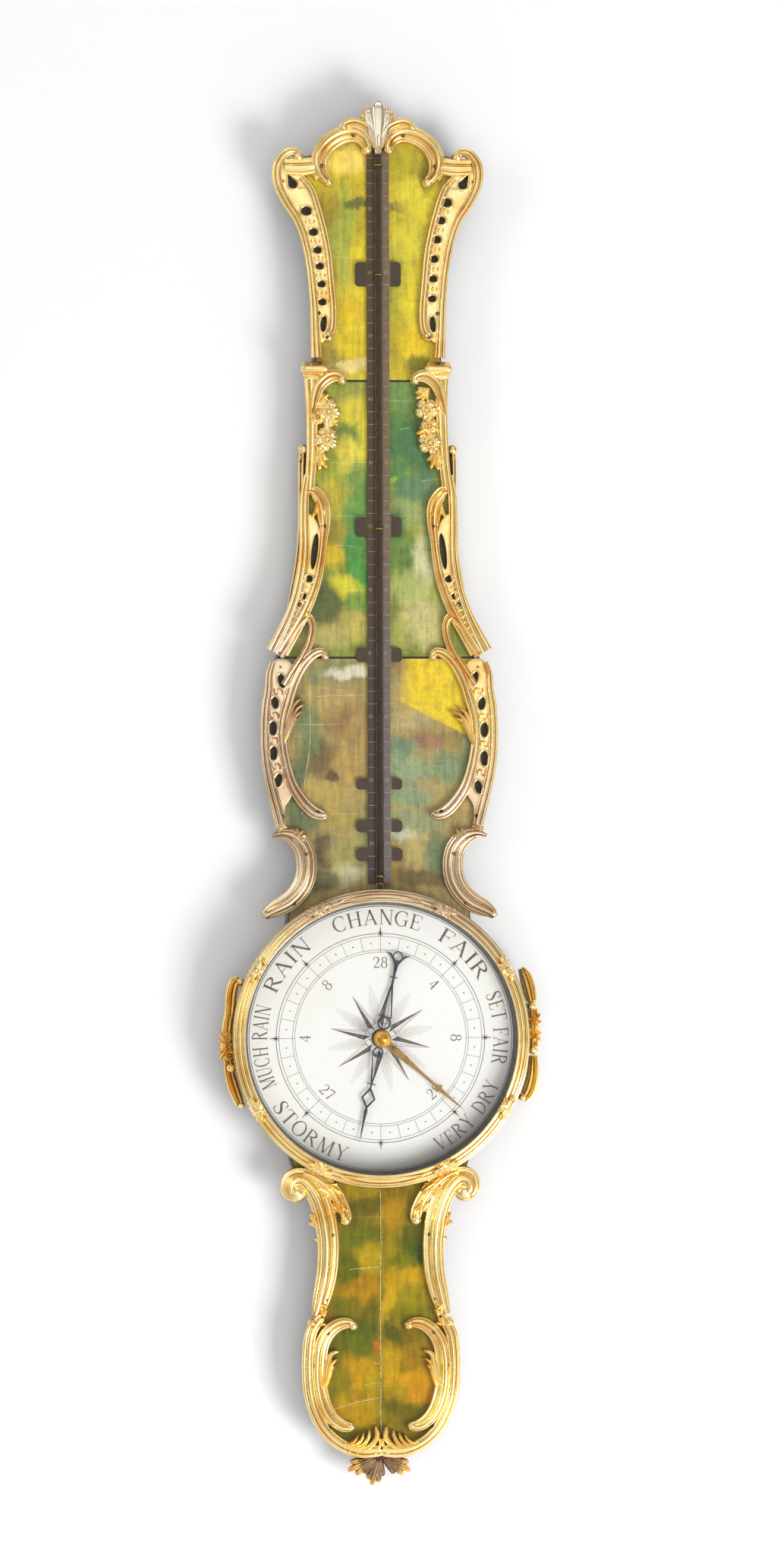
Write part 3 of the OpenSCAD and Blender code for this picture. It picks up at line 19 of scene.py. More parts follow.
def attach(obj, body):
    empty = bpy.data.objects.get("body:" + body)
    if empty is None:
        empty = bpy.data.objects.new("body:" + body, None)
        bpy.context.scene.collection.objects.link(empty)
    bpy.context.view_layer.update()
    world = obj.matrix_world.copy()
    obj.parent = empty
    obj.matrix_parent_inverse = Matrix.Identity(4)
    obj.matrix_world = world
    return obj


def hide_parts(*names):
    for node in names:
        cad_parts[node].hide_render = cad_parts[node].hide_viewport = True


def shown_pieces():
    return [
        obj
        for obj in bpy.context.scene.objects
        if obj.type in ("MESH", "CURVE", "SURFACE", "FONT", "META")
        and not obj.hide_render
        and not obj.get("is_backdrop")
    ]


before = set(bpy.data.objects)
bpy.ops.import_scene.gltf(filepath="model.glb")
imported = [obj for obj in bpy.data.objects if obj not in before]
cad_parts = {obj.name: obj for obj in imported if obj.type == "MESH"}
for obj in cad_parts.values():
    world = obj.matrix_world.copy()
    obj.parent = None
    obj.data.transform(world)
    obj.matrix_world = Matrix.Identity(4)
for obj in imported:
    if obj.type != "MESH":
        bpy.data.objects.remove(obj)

log = logging.getLogger("barometer")

MM = 0.001
HOOK_Y = 692.0
PANEL_FRONT = 32.0
# Edges of a casting that turn by less than this many degrees are shaded round
CAST_ANGLE = 72.0
# Reach in metres of a cloud of stain, for each millimetre of its half size
SPREAD = 0.00175
Point = tuple[float, float]
Stop = tuple[float, float, float]
Route = Sequence[Stop]
Colour = tuple[float, float, float]


# --------------------------------------------------------------- measuring


def place(points: np.ndarray) -> np.ndarray:
    """Turns drawing places [x, y, z] in millimetres into the frame's metres."""
    return np.stack([points[:, 0], -points[:, 2], points[:, 1] - HOOK_Y], axis=1) * MM


def paint(red: float, green: float, blue: float) -> tuple[float, float, float, float]:
    """Linear colour of a paint mixed as three numbers from 0 to 255."""
    def linear(value: float) -> float:
        value /= 255
        return value / 12.92 if value <= 0.04045 else ((value + 0.055) / 1.055) ** 2.4

    return (linear(red), linear(green), linear(blue), 1.0)


def smooth_path(stops: Route, step: float = 1.0, closed: bool = False) -> np.ndarray:
    """Lays a smooth curve through the stops of a route.

    Args:
        stops: points, each x, y and any further values such as the width.
        step: distance between neighbouring points of the result.
        closed: joins the last stop to the first.

    Returns:
        One row for each point, with the same values as a stop.
    """
    given = np.array(stops, float)
    count = len(given)
    pick = (lambda i: given[i % count]) if closed else (lambda i: given[min(max(i, 0), count - 1)])
    rows = []
    for i in range(count if closed else count - 1):
        a, b, c, d = pick(i - 1), pick(i), pick(i + 1), pick(i + 2)
        pieces = max(2, int(np.linalg.norm((c - b)[:2]) / step))
        t = np.arange(pieces)[:, None] / pieces
        rows.append(
            0.5 * (2 * b + (c - a) * t + (2 * a - 5 * b + 4 * c - d) * t**2 + (3 * b - a - 3 * c + d) * t**3)
        )
    if not closed:
        rows.append(given[-1:])
    return np.concatenate(rows)


def left_of(path: np.ndarray, closed: bool = False) -> np.ndarray:
    """Unit vectors that point to the left of a path at each of its points."""
    ahead = np.roll(path[:, :2], -1, axis=0) - np.roll(path[:, :2], 1, axis=0)
    if not closed:
        ahead = np.gradient(path[:, :2], axis=0)
    ahead /= np.linalg.norm(ahead, axis=1, keepdims=True) + 1e-9
    return np.stack([-ahead[:, 1], ahead[:, 0]], axis=1)


# --------------------------------------------------------------- node graphs


class Graph:
    """A material and the nodes that paint it."""

    def __init__(self, name: str) -> None:
        """Starts an empty material that ends in a Principled shader."""
        self.material = bpy.data.materials.new(name)
        self.material.use_nodes = True
        self.tree = self.material.node_tree
        self.tree.nodes.clear()
        self.out = self.tree.nodes.new("ShaderNodeOutputMaterial")
        self.shader = self.tree.nodes.new("ShaderNodeBsdfPrincipled")
        self.link(self.shader.outputs[0], self.out.inputs["Surface"])
        self._coords = None

    def link(self, source, target) -> None:
        """Joins an output to an input."""
        self.tree.links.new(source, target)

    def put(self, source, target) -> None:
        """Feeds an input with an output or with a plain value."""
        if isinstance(source, bpy.types.NodeSocket):
            self.link(source, target)
        elif source is not None:
            target.default_value = source

    def node(self, kind: str, **settings):
        """Adds a node and sets its properties."""
        made = self.tree.nodes.new("ShaderNode" + kind)
        for name, value in settings.items():
            setattr(made, name, value)
        return made

    @property
    def coords(self):
        """Object coordinates, in metres in the frame."""
        if self._coords is None:
            self._coords = self.node("TexCoord").outputs["Object"]
        return self._coords

    def scaled(self, x: float, y: float, z: float, vector=None):
        """Coordinates multiplied along each axis."""
        made = self.node("VectorMath", operation="MULTIPLY")
        self.put(vector or self.coords, made.inputs[0])
        made.inputs[1].default_value = (x, y, z)
        return made.outputs[0]

    def axis(self, index: int, vector=None):
        """One of the three coordinates."""
        made = self.node("SeparateXYZ")
        self.put(vector or self.coords, made.inputs[0])
        return made.outputs[index]

    def noise(self, scale: float, detail: float = 3, rough: float = 0.5, vector=None, colour: bool = False):
        """Cloudy pattern, as a value or as a colour."""
        made = self.node("TexNoise")
        self.put(vector or self.coords, made.inputs["Vector"])
        made.inputs["Scale"].default_value = scale
        made.inputs["Detail"].default_value = detail
        made.inputs["Roughness"].default_value = rough
        return made.outputs["Color" if colour else 0]

    def cells(self, scale: float):
        """Distance to the nearest of many scattered points."""
        made = self.node("TexVoronoi", feature="F1")
        self.put(self.coords, made.inputs["Vector"])
        made.inputs["Scale"].default_value = scale
        return made.outputs["Distance"]

    def ramp(self, value, low: float, high: float, out_low: float = 0.0, out_high: float = 1.0):
        """Smooth step of a value from one range to another."""
        made = self.node("MapRange", interpolation_type="SMOOTHSTEP")
        for i, source in enumerate((value, low, high, out_low, out_high)):
            self.put(source, made.inputs[i])
        return made.outputs[0]

    def math(self, operation: str, a, b=None, clamp: bool = False):
        """Sum, product or other operation on two values."""
        made = self.node("Math", operation=operation, use_clamp=clamp)
        self.put(a, made.inputs[0])
        self.put(b, made.inputs[1])
        return made.outputs[0]

    def times(self, a, b):
        """Product of two values."""
        return self.math("MULTIPLY", a, b)

    def plus(self, a, b):
        """Sum of two values."""
        return self.math("ADD", a, b)

    def turned(self, turn: float, scale: tuple[float, float, float]):
        """Coordinates turned in the plane of the front, in degrees, and scaled."""
        made = self.node("Mapping")
        self.put(self.coords, made.inputs["Vector"])
        made.inputs["Rotation"].default_value = (0, math.radians(turn), 0)
        made.inputs["Scale"].default_value = scale
        return made.outputs[0]

    def away(self, vector, point: tuple[float, float, float]):
        """Distance from a point."""
        made = self.node("VectorMath", operation="DISTANCE")
        self.put(vector, made.inputs[0])
        made.inputs[1].default_value = point
        return made.outputs["Value"]

    def show_blend(self, share, first, second) -> None:
        """Makes the surface a blend of two shaders."""
        blend = self.node("MixShader")
        for source, target in zip((share, first, second), blend.inputs):
            self.put(source, target)
        self.put(blend.outputs[0], self.out.inputs["Surface"])

    def mix(self, share, a, b, blend: str = "MIX"):
        """Blend of two colours by a share from 0 to 1."""
        made = self.node("Mix", data_type="RGBA", blend_type=blend)
        self.put(share, made.inputs[0])
        self.put(a, made.inputs[6])
        self.put(b, made.inputs[7])
        return made.outputs[2]

    def bump(self, height, distance: float, strength: float = 1.0, under=None):
        """Fine relief from a height."""
        made = self.node("Bump")
        made.inputs["Strength"].default_value = strength
        made.inputs["Distance"].default_value = distance
        self.put(height, made.inputs["Height"])
        self.put(under, made.inputs["Normal"])
        return made.outputs[0]

    def recess(self, distance: float, low: float, high: float):
        """0 in the open and 1 in hollows of the piece, for painted shade."""
        made = self.node("AmbientOcclusion", only_local=True, samples=12)
        made.inputs["Distance"].default_value = distance
        return self.ramp(made.outputs["AO"], low, high, 1.0, 0.0)

    def finish(self, colour, rough, normal=None, **constants: float) -> bpy.types.Material:
        """Feeds the shader.

        Args:
            colour: base colour, plain or painted.
            rough: roughness, plain or painted.
            normal: fine relief.
            constants: further plain values by the name of their socket.

        Returns:
            The material.
        """
        self.put(colour, self.shader.inputs["Base Color"])
        self.put(rough, self.shader.inputs["Roughness"])
        self.put(normal, self.shader.inputs["Normal"])
        for name, value in constants.items():
            self.shader.inputs[name.replace("_", " ")].default_value = value
        return self.material


class Finish:
    """What a surface is made of and how it looks."""

    def material(self) -> bpy.types.Material:
        """The material, made once for each finish."""
        key = repr(self)
        if key not in _FINISHES:
            _FINISHES[key] = self.make()
        return _FINISHES[key]

    def make(self) -> bpy.types.Material:
        """Builds the material."""
        raise NotImplementedError


_FINISHES: dict[str, bpy.types.Material] = {}


@dataclass(frozen=True)
class Gilding(Finish):
    """Mercury gilt bronze with a pale painted highlight on the ridges, painted shade and dirt in the grooves, painted
    shade at the foot of the relief, and rubbed pale in its worn part.
    """

    name: str = "gilding"
    gold: Colour = (253, 226, 158)
    warm: Colour = (240, 194, 106)
    # Painted shade and dirt in the grooves, and painted shade at the foot of the relief
    dark: Colour = (104, 62, 20)
    pale: Colour = (230, 206, 172)
    pale_warm: Colour = (206, 174, 134)
    # The same painted shade and dirt on the pale worn part
    pale_dark: Colour = (92, 70, 50)
    wear: tuple[float, float] | None = (-0.345, -0.60)
    tilt: float = -0.80
    silver: float = 0.0
    # Depth from the wall, in metres, of the foot of the relief, where its painted shade is darkest
    floor: float = 0.0322

    def make(self) -> bpy.types.Material:
        """Builds the material."""
        g = Graph(self.name)
        cloud = g.noise(28, 4, 0.6)
        if self.wear:
            # The worn part lies between two heights, the upper one lower on the right
            high, low = self.wear
            level = g.plus(g.axis(2), g.times(g.axis(0), -self.tilt))
            level = g.plus(level, g.times(cloud, 0.05))
            worn = g.times(g.ramp(level, high + 0.01, high - 0.075), g.ramp(g.axis(2), low - 0.07, low + 0.03))
        else:
            worn = 0.0
        body = g.mix(worn, paint(*self.gold), paint(*self.pale))
        patina = g.mix(worn, paint(*self.warm), paint(*self.pale_warm))
        warm = g.mix(g.ramp(g.noise(34, 4, 0.6), 0.40, 0.75), body, patina)
        if self.silver:
            # Only the middle of the piece is silvered
            near = g.ramp(g.math("ABSOLUTE", g.axis(0)), 0.013, 0.007)
            warm = g.mix(g.times(near, self.silver), warm, paint(226, 218, 206))
        shade_and_dirt = g.mix(worn, paint(*self.dark), paint(*self.pale_dark))
        # Painted shade and dirt darken the grooves, painted shade darkens the foot of the relief, and a pale painted
        # highlight lies on the ridges
        curve = g.node("NewGeometry").outputs["Pointiness"]
        foot = g.ramp(g.times(g.axis(1), -1.0), self.floor, self.floor + 0.0042, 0.80, 0.0)
        # Pale painted highlight on the ridges
        colour = g.mix(g.ramp(curve, 0.53, 0.62, 0.0, 0.55), warm,
                       g.mix(worn, paint(255, 244, 214), paint(244, 232, 214)))
        # Painted shade and dirt in the grooves, painted shade at the foot of the relief
        colour = g.mix(g.math("MAXIMUM", foot, g.ramp(curve, 0.490, 0.415, 0.0, 0.85)), colour, shade_and_dirt)
        rough = g.ramp(g.noise(120, 4, 0.6), 0.3, 0.7, 0.19, 0.29)
        grain = g.bump(g.noise(900, 3, 0.6), 0.00002, 0.15)
        return g.finish(colour, rough, g.bump(g.noise(70, 2, 0.5), 0.00018, 0.10, grain), Metallic=0.87,
                        Coat_Weight=0.14, Coat_Roughness=0.14)


@dataclass(frozen=True)
class Metal(Finish):
    """Plain worked metal with fine brush marks and tarnish."""

    name: str
    colour: Colour
    stain: Colour
    rough: tuple[float, float] = (0.22, 0.4)
    metallic: float = 1.0
    grain: float = 700.0

    def make(self) -> bpy.types.Material:
        """Builds the material."""
        g = Graph(self.name)
        tarnish = g.ramp(g.noise(150, 5, 0.65), 0.45, 0.72)
        colour = g.mix(tarnish, paint(*self.colour), paint(*self.stain))
        # Painted shade darkens the hollows
        colour = g.mix(g.recess(0.002, 0.3, 0.9), colour, paint(*(0.45 * c for c in self.stain)))
        fine = g.noise(self.grain, 4, 0.6)
        return g.finish(colour, g.ramp(fine, 0.3, 0.7, *self.rough), g.bump(fine, 0.00006, 0.4), Metallic=self.metallic)


@dataclass(frozen=True)
class TippedBronze(Finish):
    """Dull brown bronze whose outer tips are gilt."""

    name: str = "tipped_bronze"
    root: tuple[float, float, float] = (0.0, -0.029, -1.029)
    reach: tuple[float, float] = (0.0185, 0.0235)

    def make(self) -> bpy.types.Material:
        """Builds the material."""
        g = Graph(self.name)
        ragged = g.plus(g.away(g.coords, self.root), g.times(g.noise(160, 4, 0.6), 0.004))
        brown = g.mix(g.ramp(g.noise(120, 5, 0.65), 0.4, 0.7), paint(142, 112, 84), paint(98, 72, 52))
        colour = g.mix(g.ramp(ragged, *self.reach), brown, paint(236, 194, 112))
        # Painted shade darkens the hollows
        colour = g.mix(g.recess(0.003, 0.15, 0.8), colour, paint(44, 30, 22))
        fine = g.noise(600, 4, 0.6)
        return g.finish(colour, g.ramp(fine, 0.3, 0.7, 0.34, 0.5), g.bump(fine, 0.00008, 0.4), Metallic=0.7)


@dataclass(frozen=True)
class Timber(Finish):
    """Wood with an upright grain."""

    name: str
    light: Colour
    dark: Colour
    rough: float = 0.5
    coat: float = 0.0

    def make(self) -> bpy.types.Material:
        """Builds the material."""
        g = Graph(self.name)
        along = g.scaled(1.0, 1.0, 0.07)
        grain = g.noise(320, 5, 0.6, along)
        rings = g.node("TexWave", wave_type="BANDS", bands_direction="X")
        g.put(g.scaled(1.0, 0.6, 0.05), rings.inputs["Vector"])
        rings.inputs["Scale"].default_value = 22
        rings.inputs["Distortion"].default_value = 5
        rings.inputs["Detail"].default_value = 3
        colour = g.mix(grain, paint(*self.dark), paint(*self.light))
        colour = g.mix(g.times(rings.outputs["Fac"], 0.35), colour, paint(*self.dark))
        return g.finish(colour, self.rough, g.bump(grain, 0.00015, 0.4), Coat_Weight=self.coat)


@dataclass(frozen=True)
class Smudge:
    """One cloud of stain in the horn: its place, its half sizes, its turn and colour."""

    x: float
    y: float
    wide: float
    tall: float
    turn: float
    colour: Colour
    share: float = 0.85


@dataclass(frozen=True)
class StainedHorn(Finish):
    """Polished horn over painted stain, with clouds of colour and fine scratches."""

    name: str
    base: Colour
    smudges: tuple[Smudge, ...]
    scratch: float = 0.14
    diagonal: bool = False
    tint: tuple[float, float, float] = (1.0, 1.0, 1.0)
    grain: float = 0.03

    def moved(self, g: Graph, where, pattern, reach: tuple[float, float, float]):
        """Shifts places about by a cloudy pattern, so that the edges of the stain are ragged."""
        centred = g.node("VectorMath", operation="SUBTRACT")
        g.put(pattern, centred.inputs[0])
        centred.inputs[1].default_value = (0.5, 0.5, 0.5)
        shifted = g.node("VectorMath", operation="MULTIPLY_ADD")
        g.put(centred.outputs[0], shifted.inputs[0])
        shifted.inputs[1].default_value = reach
        g.put(where, shifted.inputs[2])
        return shifted.outputs[0]

    def scratches(self, g: Graph, turn: float, scale: float):
        """Thin broken lines in one direction."""
        return g.ramp(g.noise(scale, 3, 0.6, g.turned(turn, (0.12, 1, 5))), 0.68, 0.74)

    def make(self) -> bpy.types.Material:
        """Builds the material."""
        g = Graph(self.name)
        where = g.coords
        for scale, detail, rough, stretch, reach in (
                (24, 3, 0.55, (1, 1, 1), (0.022, 0.0, 0.022)), (85, 4, 0.65, (1.4, 1, 0.6), (0.009, 0.0, 0.013)),
                (300, 3, 0.7, (1, 1, 0.7), (0.004, 0.0, 0.005))):
            where = self.moved(g, where, g.noise(scale, detail, rough, g.scaled(*stretch), colour=True), reach)
        colour = g.mix(g.ramp(g.noise(45, 4, 0.6), 0.35, 0.7), paint(*self.base), paint(*(0.84 * c for c in self.base)))
        for smudge in self.smudges:
            spot = g.node("Mapping", vector_type="TEXTURE")
            g.put(where, spot.inputs["Vector"])
            spot.inputs["Location"].default_value = (smudge.x * MM, 0, (smudge.y - HOOK_Y) * MM)
            spot.inputs["Rotation"].default_value = (0, math.radians(smudge.turn), 0)
            spot.inputs["Scale"].default_value = (smudge.wide * SPREAD, 1, smudge.tall * SPREAD)
            ball = g.node("TexGradient", gradient_type="SPHERICAL")
            g.put(spot.outputs[0], ball.inputs[0])
            colour = g.mix(g.ramp(ball.outputs[1], 0.02, 0.60, 0.0, smudge.share), colour, paint(*smudge.colour))
        if self.diagonal:
            # The painter's edge of the bright yellow patch falls to the right
            line = g.plus(g.times(g.axis(0), 0.51), g.axis(2))
            line = g.plus(line, g.times(g.noise(300, 4, 0.7), 0.004))
            above = g.ramp(line, -0.4120, -0.4092)
            right = g.ramp(g.axis(0, where), 0.010, 0.026)
            yellow = g.mix(g.ramp(g.noise(70, 5, 0.7), 0.40, 0.72), paint(228, 198, 44), paint(188, 172, 50))
            colour = g.mix(g.times(g.times(above, right), 0.94), colour, yellow)
        # Mottled stain, brush strokes, then the grain of the horn
        mottle = g.noise(170, 6, 0.78)
        strokes = g.noise(70, 5, 0.72, g.scaled(3.4, 1, 0.42))
        leaning = g.noise(60, 5, 0.72, g.turned(28, (2.6, 1, 0.4)))
        shade = g.noise(60, 5, 0.7, g.scaled(1.6, 1, 0.7))
        swept = [g.noise(scale, 5, 0.74, g.turned(turn, (0.34, 1, 1.5))) for turn, scale in ((-24, 150), (74, 130))]
        for pattern, low, high, at_low, at_high, tone, blend in (
                (mottle, 0.34, 0.52, 0.24, 0.0, (120, 112, 58), "MULTIPLY"),
                (mottle, 0.50, 0.68, 0.0, 0.30, (238, 226, 150), "SOFT_LIGHT"),
                (strokes, 0.49, 0.60, 0.0, 0.26, (232, 216, 130), "SOFT_LIGHT"),
                (strokes, 0.42, 0.50, 0.18, 0.0, (110, 112, 60), "MULTIPLY"),
                (leaning, 0.50, 0.68, 0.0, 0.34, (240, 230, 150), "SOFT_LIGHT"),
                (shade, 0.54, 0.76, 0.0, 0.24, (96, 104, 52), "MULTIPLY"),
                (swept[0], 0.54, 0.62, 0.0, 0.20, (244, 232, 160), "SOFT_LIGHT"),
                (swept[1], 0.54, 0.62, 0.0, 0.16, (244, 232, 160), "SOFT_LIGHT"),
                (g.noise(120, 6, 0.75, g.scaled(0.22, 1, 7)), 0.50, 0.78, 0.0, self.grain, (240, 234, 196), "MIX")):
            colour = g.mix(g.ramp(pattern, low, high, at_low, at_high), colour, paint(*tone), blend)
        for turn, scale in ((4, 90), (-38, 70), (62, 60)):
            colour = g.mix(g.times(self.scratches(g, turn, scale), self.scratch), colour, paint(250, 248, 226))
        # Light and dark specks, in drifts
        for cells, inner, share, drift, low, high, tone in (
                (260, 0.05, 0.6, g.noise(25, 2), 0.52, 0.62, (240, 236, 170)),
                (330, 0.04, 0.4, g.noise(31, 3), 0.55, 0.66, (70, 66, 34))):
            specks = g.ramp(g.cells(cells), inner, 0.09, share, 0.0)
            colour = g.mix(g.times(specks, g.ramp(drift, low, high)), colour, paint(*tone))
        tinted = g.node("VectorMath", operation="MULTIPLY")
        g.put(colour, tinted.inputs[0])
        tinted.inputs[1].default_value = self.tint
        rough = g.ramp(g.noise(60, 4, 0.6), 0.35, 0.7, 0.24, 0.36)
        relief = g.bump(mottle, 0.00005, 0.15)
        return g.finish(tinted.outputs[0], rough, relief, Specular_IOR_Level=0.22, Coat_Weight=0.05,
                        Coat_Roughness=0.15)


@dataclass(frozen=True)
class Slate(Finish):
    """Grey-brown painted plate, with painted shade darkening its left strip."""

    name: str = "slate_paint"

    def make(self) -> bpy.types.Material:
        """Builds the material."""
        g = Graph(self.name)
        # Painted shade: the left strip is darker than the right
        side = g.ramp(g.axis(0), -0.0040, 0.0040)
        # Warm brown at the top, greyer down to the dial
        low = g.ramp(g.axis(2), -0.20, -0.48)
        colour = g.mix(low, g.mix(side, paint(84, 68, 46), paint(122, 104, 80)),
                       g.mix(side, paint(74, 62, 60), paint(114, 104, 102)))
        edge = g.ramp(g.math("ABSOLUTE", g.axis(0)), 0.0092, 0.0104)
        colour = g.mix(edge, colour, paint(74, 62, 52))
        colour = g.mix(g.ramp(g.noise(240, 5, 0.7), 0.45, 0.75, 0.0, 0.4), colour, paint(54, 44, 36))
        fine = g.noise(900, 4, 0.7)
        colour = g.mix(g.ramp(fine, 0.62, 0.72, 0.0, 0.3), colour, paint(146, 132, 116))
        return g.finish(colour, 0.5, g.bump(fine, 0.00004, 0.3), Metallic=0.1, Specular_IOR_Level=0.3)


@dataclass(frozen=True)
class Enamel(Finish):
    """White dial with faint clouds and a painted shadow of the bezel towards its lower edge."""

    name: str = "dial_white"

    def make(self) -> bpy.types.Material:
        """Builds the material."""
        g = Graph(self.name)
        colour = g.mix(g.ramp(g.noise(14, 4, 0.6), 0.4, 0.75, 0.0, 0.5), paint(250, 249, 244), paint(240, 239, 230))
        colour = g.mix(g.ramp(g.noise(300, 4, 0.7), 0.62, 0.72, 0.0, 0.12), colour, paint(190, 184, 172))
        # Painted shadow of the bezel greys the lower edge, most at the lower right
        edge = g.ramp(g.away(g.scaled(1, 0, 1), (0, 0, -HOOK_Y * MM)), 0.082, 0.110)
        low = g.ramp(g.math("SUBTRACT", g.times(g.axis(0), 0.35), g.axis(2)), HOOK_Y * MM + 0.01, HOOK_Y * MM + 0.115)
        colour = g.mix(g.times(g.times(edge, low), 0.85), colour, paint(92, 88, 74))
        return g.finish(colour, g.ramp(g.noise(40, 3), 0.3, 0.7, 0.28, 0.36))


@dataclass(frozen=True)
class Ink(Finish):
    """Engraved marks filled with thin dark wax."""

    name: str
    strong: Colour = (88, 74, 64)
    thin: Colour = (140, 128, 122)
    grain: float = 420.0

    def make(self) -> bpy.types.Material:
        """Builds the material."""
        g = Graph(self.name)
        patchy = g.times(g.ramp(g.noise(self.grain, 4, 0.7), 0.42, 0.66), g.ramp(g.noise(30, 2), 0.2, 0.8, 0.5, 1.0))
        return g.finish(g.mix(patchy, paint(*self.strong), paint(*self.thin)), 0.55)


@dataclass(frozen=True)
class ClearGlass(Finish):
    """Clear glass: what lies behind shows through, and the surface shines."""

    name: str = "clear_glass"
    tint: Colour = (244, 249, 250)
    shine: float = 1.0

    def make(self) -> bpy.types.Material:
        """Builds the material."""
        g = Graph(self.name)
        clear = g.node("BsdfTransparent")
        clear.inputs[0].default_value = paint(*self.tint)
        gloss = g.node("BsdfGlossy")
        gloss.inputs["Color"].default_value = (1, 1, 1, 1)
        gloss.inputs["Roughness"].default_value = 0.03
        fresnel = g.node("Fresnel")
        fresnel.inputs["IOR"].default_value = 1.5
        g.show_blend(g.math("MULTIPLY", fresnel.outputs[0], self.shine, clamp=True), clear.outputs[0], gloss.outputs[0])
        g.tree.nodes.remove(g.shader)
        return g.material


@dataclass(frozen=True)
class Thread(Finish):
    """Twisted silk thread."""

    name: str = "silk_thread"

    def make(self) -> bpy.types.Material:
        """Builds the material."""
        g = Graph(self.name)
        twist = g.node("TexWave", wave_type="BANDS", bands_direction="DIAGONAL")
        g.put(g.coords, twist.inputs["Vector"])
        twist.inputs["Scale"].default_value = 900
        colour = g.mix(twist.outputs["Fac"], paint(214, 202, 170), paint(240, 234, 214))
        return g.finish(colour, 0.7, g.bump(twist.outputs["Fac"], 0.00003))


GILT = Gilding()
STRIP_GILT = Gilding("strip_gilding", floor=0.0160)
BEZEL_GILT = Gilding("bezel_gilding", floor=0.0400)
# Lighter copy of the gilding with lighter hollows: painted light on the garlands, which sit in shade beside the bezel
PAINTED_LIGHT_GILT = Gilding("bright_gilding", (255, 228, 150), (246, 202, 108), (150, 100, 36), wear=None, floor=0.0262)
SILVERED = Gilding("silvered_gilding", wear=None, silver=0.8)
BRASS = Metal("brass", (206, 158, 74), (150, 104, 44))
HAND_BRASS = Metal("hand_brass", (158, 124, 66), (104, 76, 40))
PIN = Metal("pin_heads", (120, 104, 84), (60, 48, 38), (0.35, 0.5))
STEEL = Metal("blued_steel", (66, 68, 78), (40, 38, 42), (0.25, 0.4))
IRON = Metal("iron", (70, 62, 58), (44, 36, 32), (0.4, 0.6))
TAIL_BRONZE = TippedBronze()
# Sight ring metal, its dark tone partly painted shadow of the bezel
DARK_SILVER = Metal("dark_silver", (104, 98, 92), (70, 62, 56), (0.3, 0.45), 0.8)
MERCURY = Metal("mercury", (214, 217, 222), (196, 200, 206), (0.04, 0.09))
EBONY = Timber("dark_wood", (54, 38, 30), (26, 17, 13), 0.38, 0.2)
PLAIN_WOOD = Timber("plain_wood", (164, 124, 84), (116, 82, 52), 0.6)
CLIP_WOOD = Timber("clip_wood", (150, 112, 74), (104, 72, 44), 0.6)
GLASS = ClearGlass("clear_glass", (254, 254, 254), 0.35)
TUBE_GLASS = ClearGlass("tube_glass", (226, 220, 208), 0.45)
INK = Ink("dial_engraving")
FINE_INK = Ink("fine_engraving", (126, 108, 92), (176, 162, 148))
SCALE_INK = Ink("scale_marks", (176, 168, 160), (112, 102, 98), 900.0)
# Colour of the painted shade in the pierced holes
HOLE_SHADE = Ink("grime", (44, 42, 22), (70, 66, 34), 300.0)
CRAZE = Ink("craze_lines", (226, 222, 196), (176, 170, 128), 700.0)


# --------------------------------------------------------------- meshes


def deselect() -> None:
    """Leaves edit mode with nothing selected."""
    if bpy.context.object and bpy.context.object.mode != "OBJECT":
        bpy.ops.object.mode_set(mode="OBJECT")
    bpy.ops.object.select_all(action="DESELECT")


def activate(obj: bpy.types.Object) -> None:
    """Selects one object alone and makes it active."""
    deselect()
    obj.select_set(True)
    bpy.context.view_layer.objects.active = obj


def new_object(name: str, data: bpy.types.ID) -> bpy.types.Object:
    """Makes an object from its data and puts it into the scene."""
    obj = bpy.data.objects.new(name, data)
    bpy.context.collection.objects.link(obj)
    return obj


def weld(obj: bpy.types.Object, distance: float) -> None:
    """Joins the doubled points of a mesh and turns its faces outwards."""
    activate(obj)
    bpy.ops.object.mode_set(mode="EDIT")
    bpy.ops.mesh.select_all(action="SELECT")
    bpy.ops.mesh.remove_doubles(threshold=distance)
    bpy.ops.mesh.normals_make_consistent(inside=False)
    bpy.ops.object.mode_set(mode="OBJECT")


def smooth(obj: bpy.types.Object, angle: float) -> None:
    """Rounds the shading of a mesh but for edges sharper than an angle in degrees."""
    activate(obj)
    bpy.ops.object.shade_smooth_by_angle(angle=math.radians(angle))


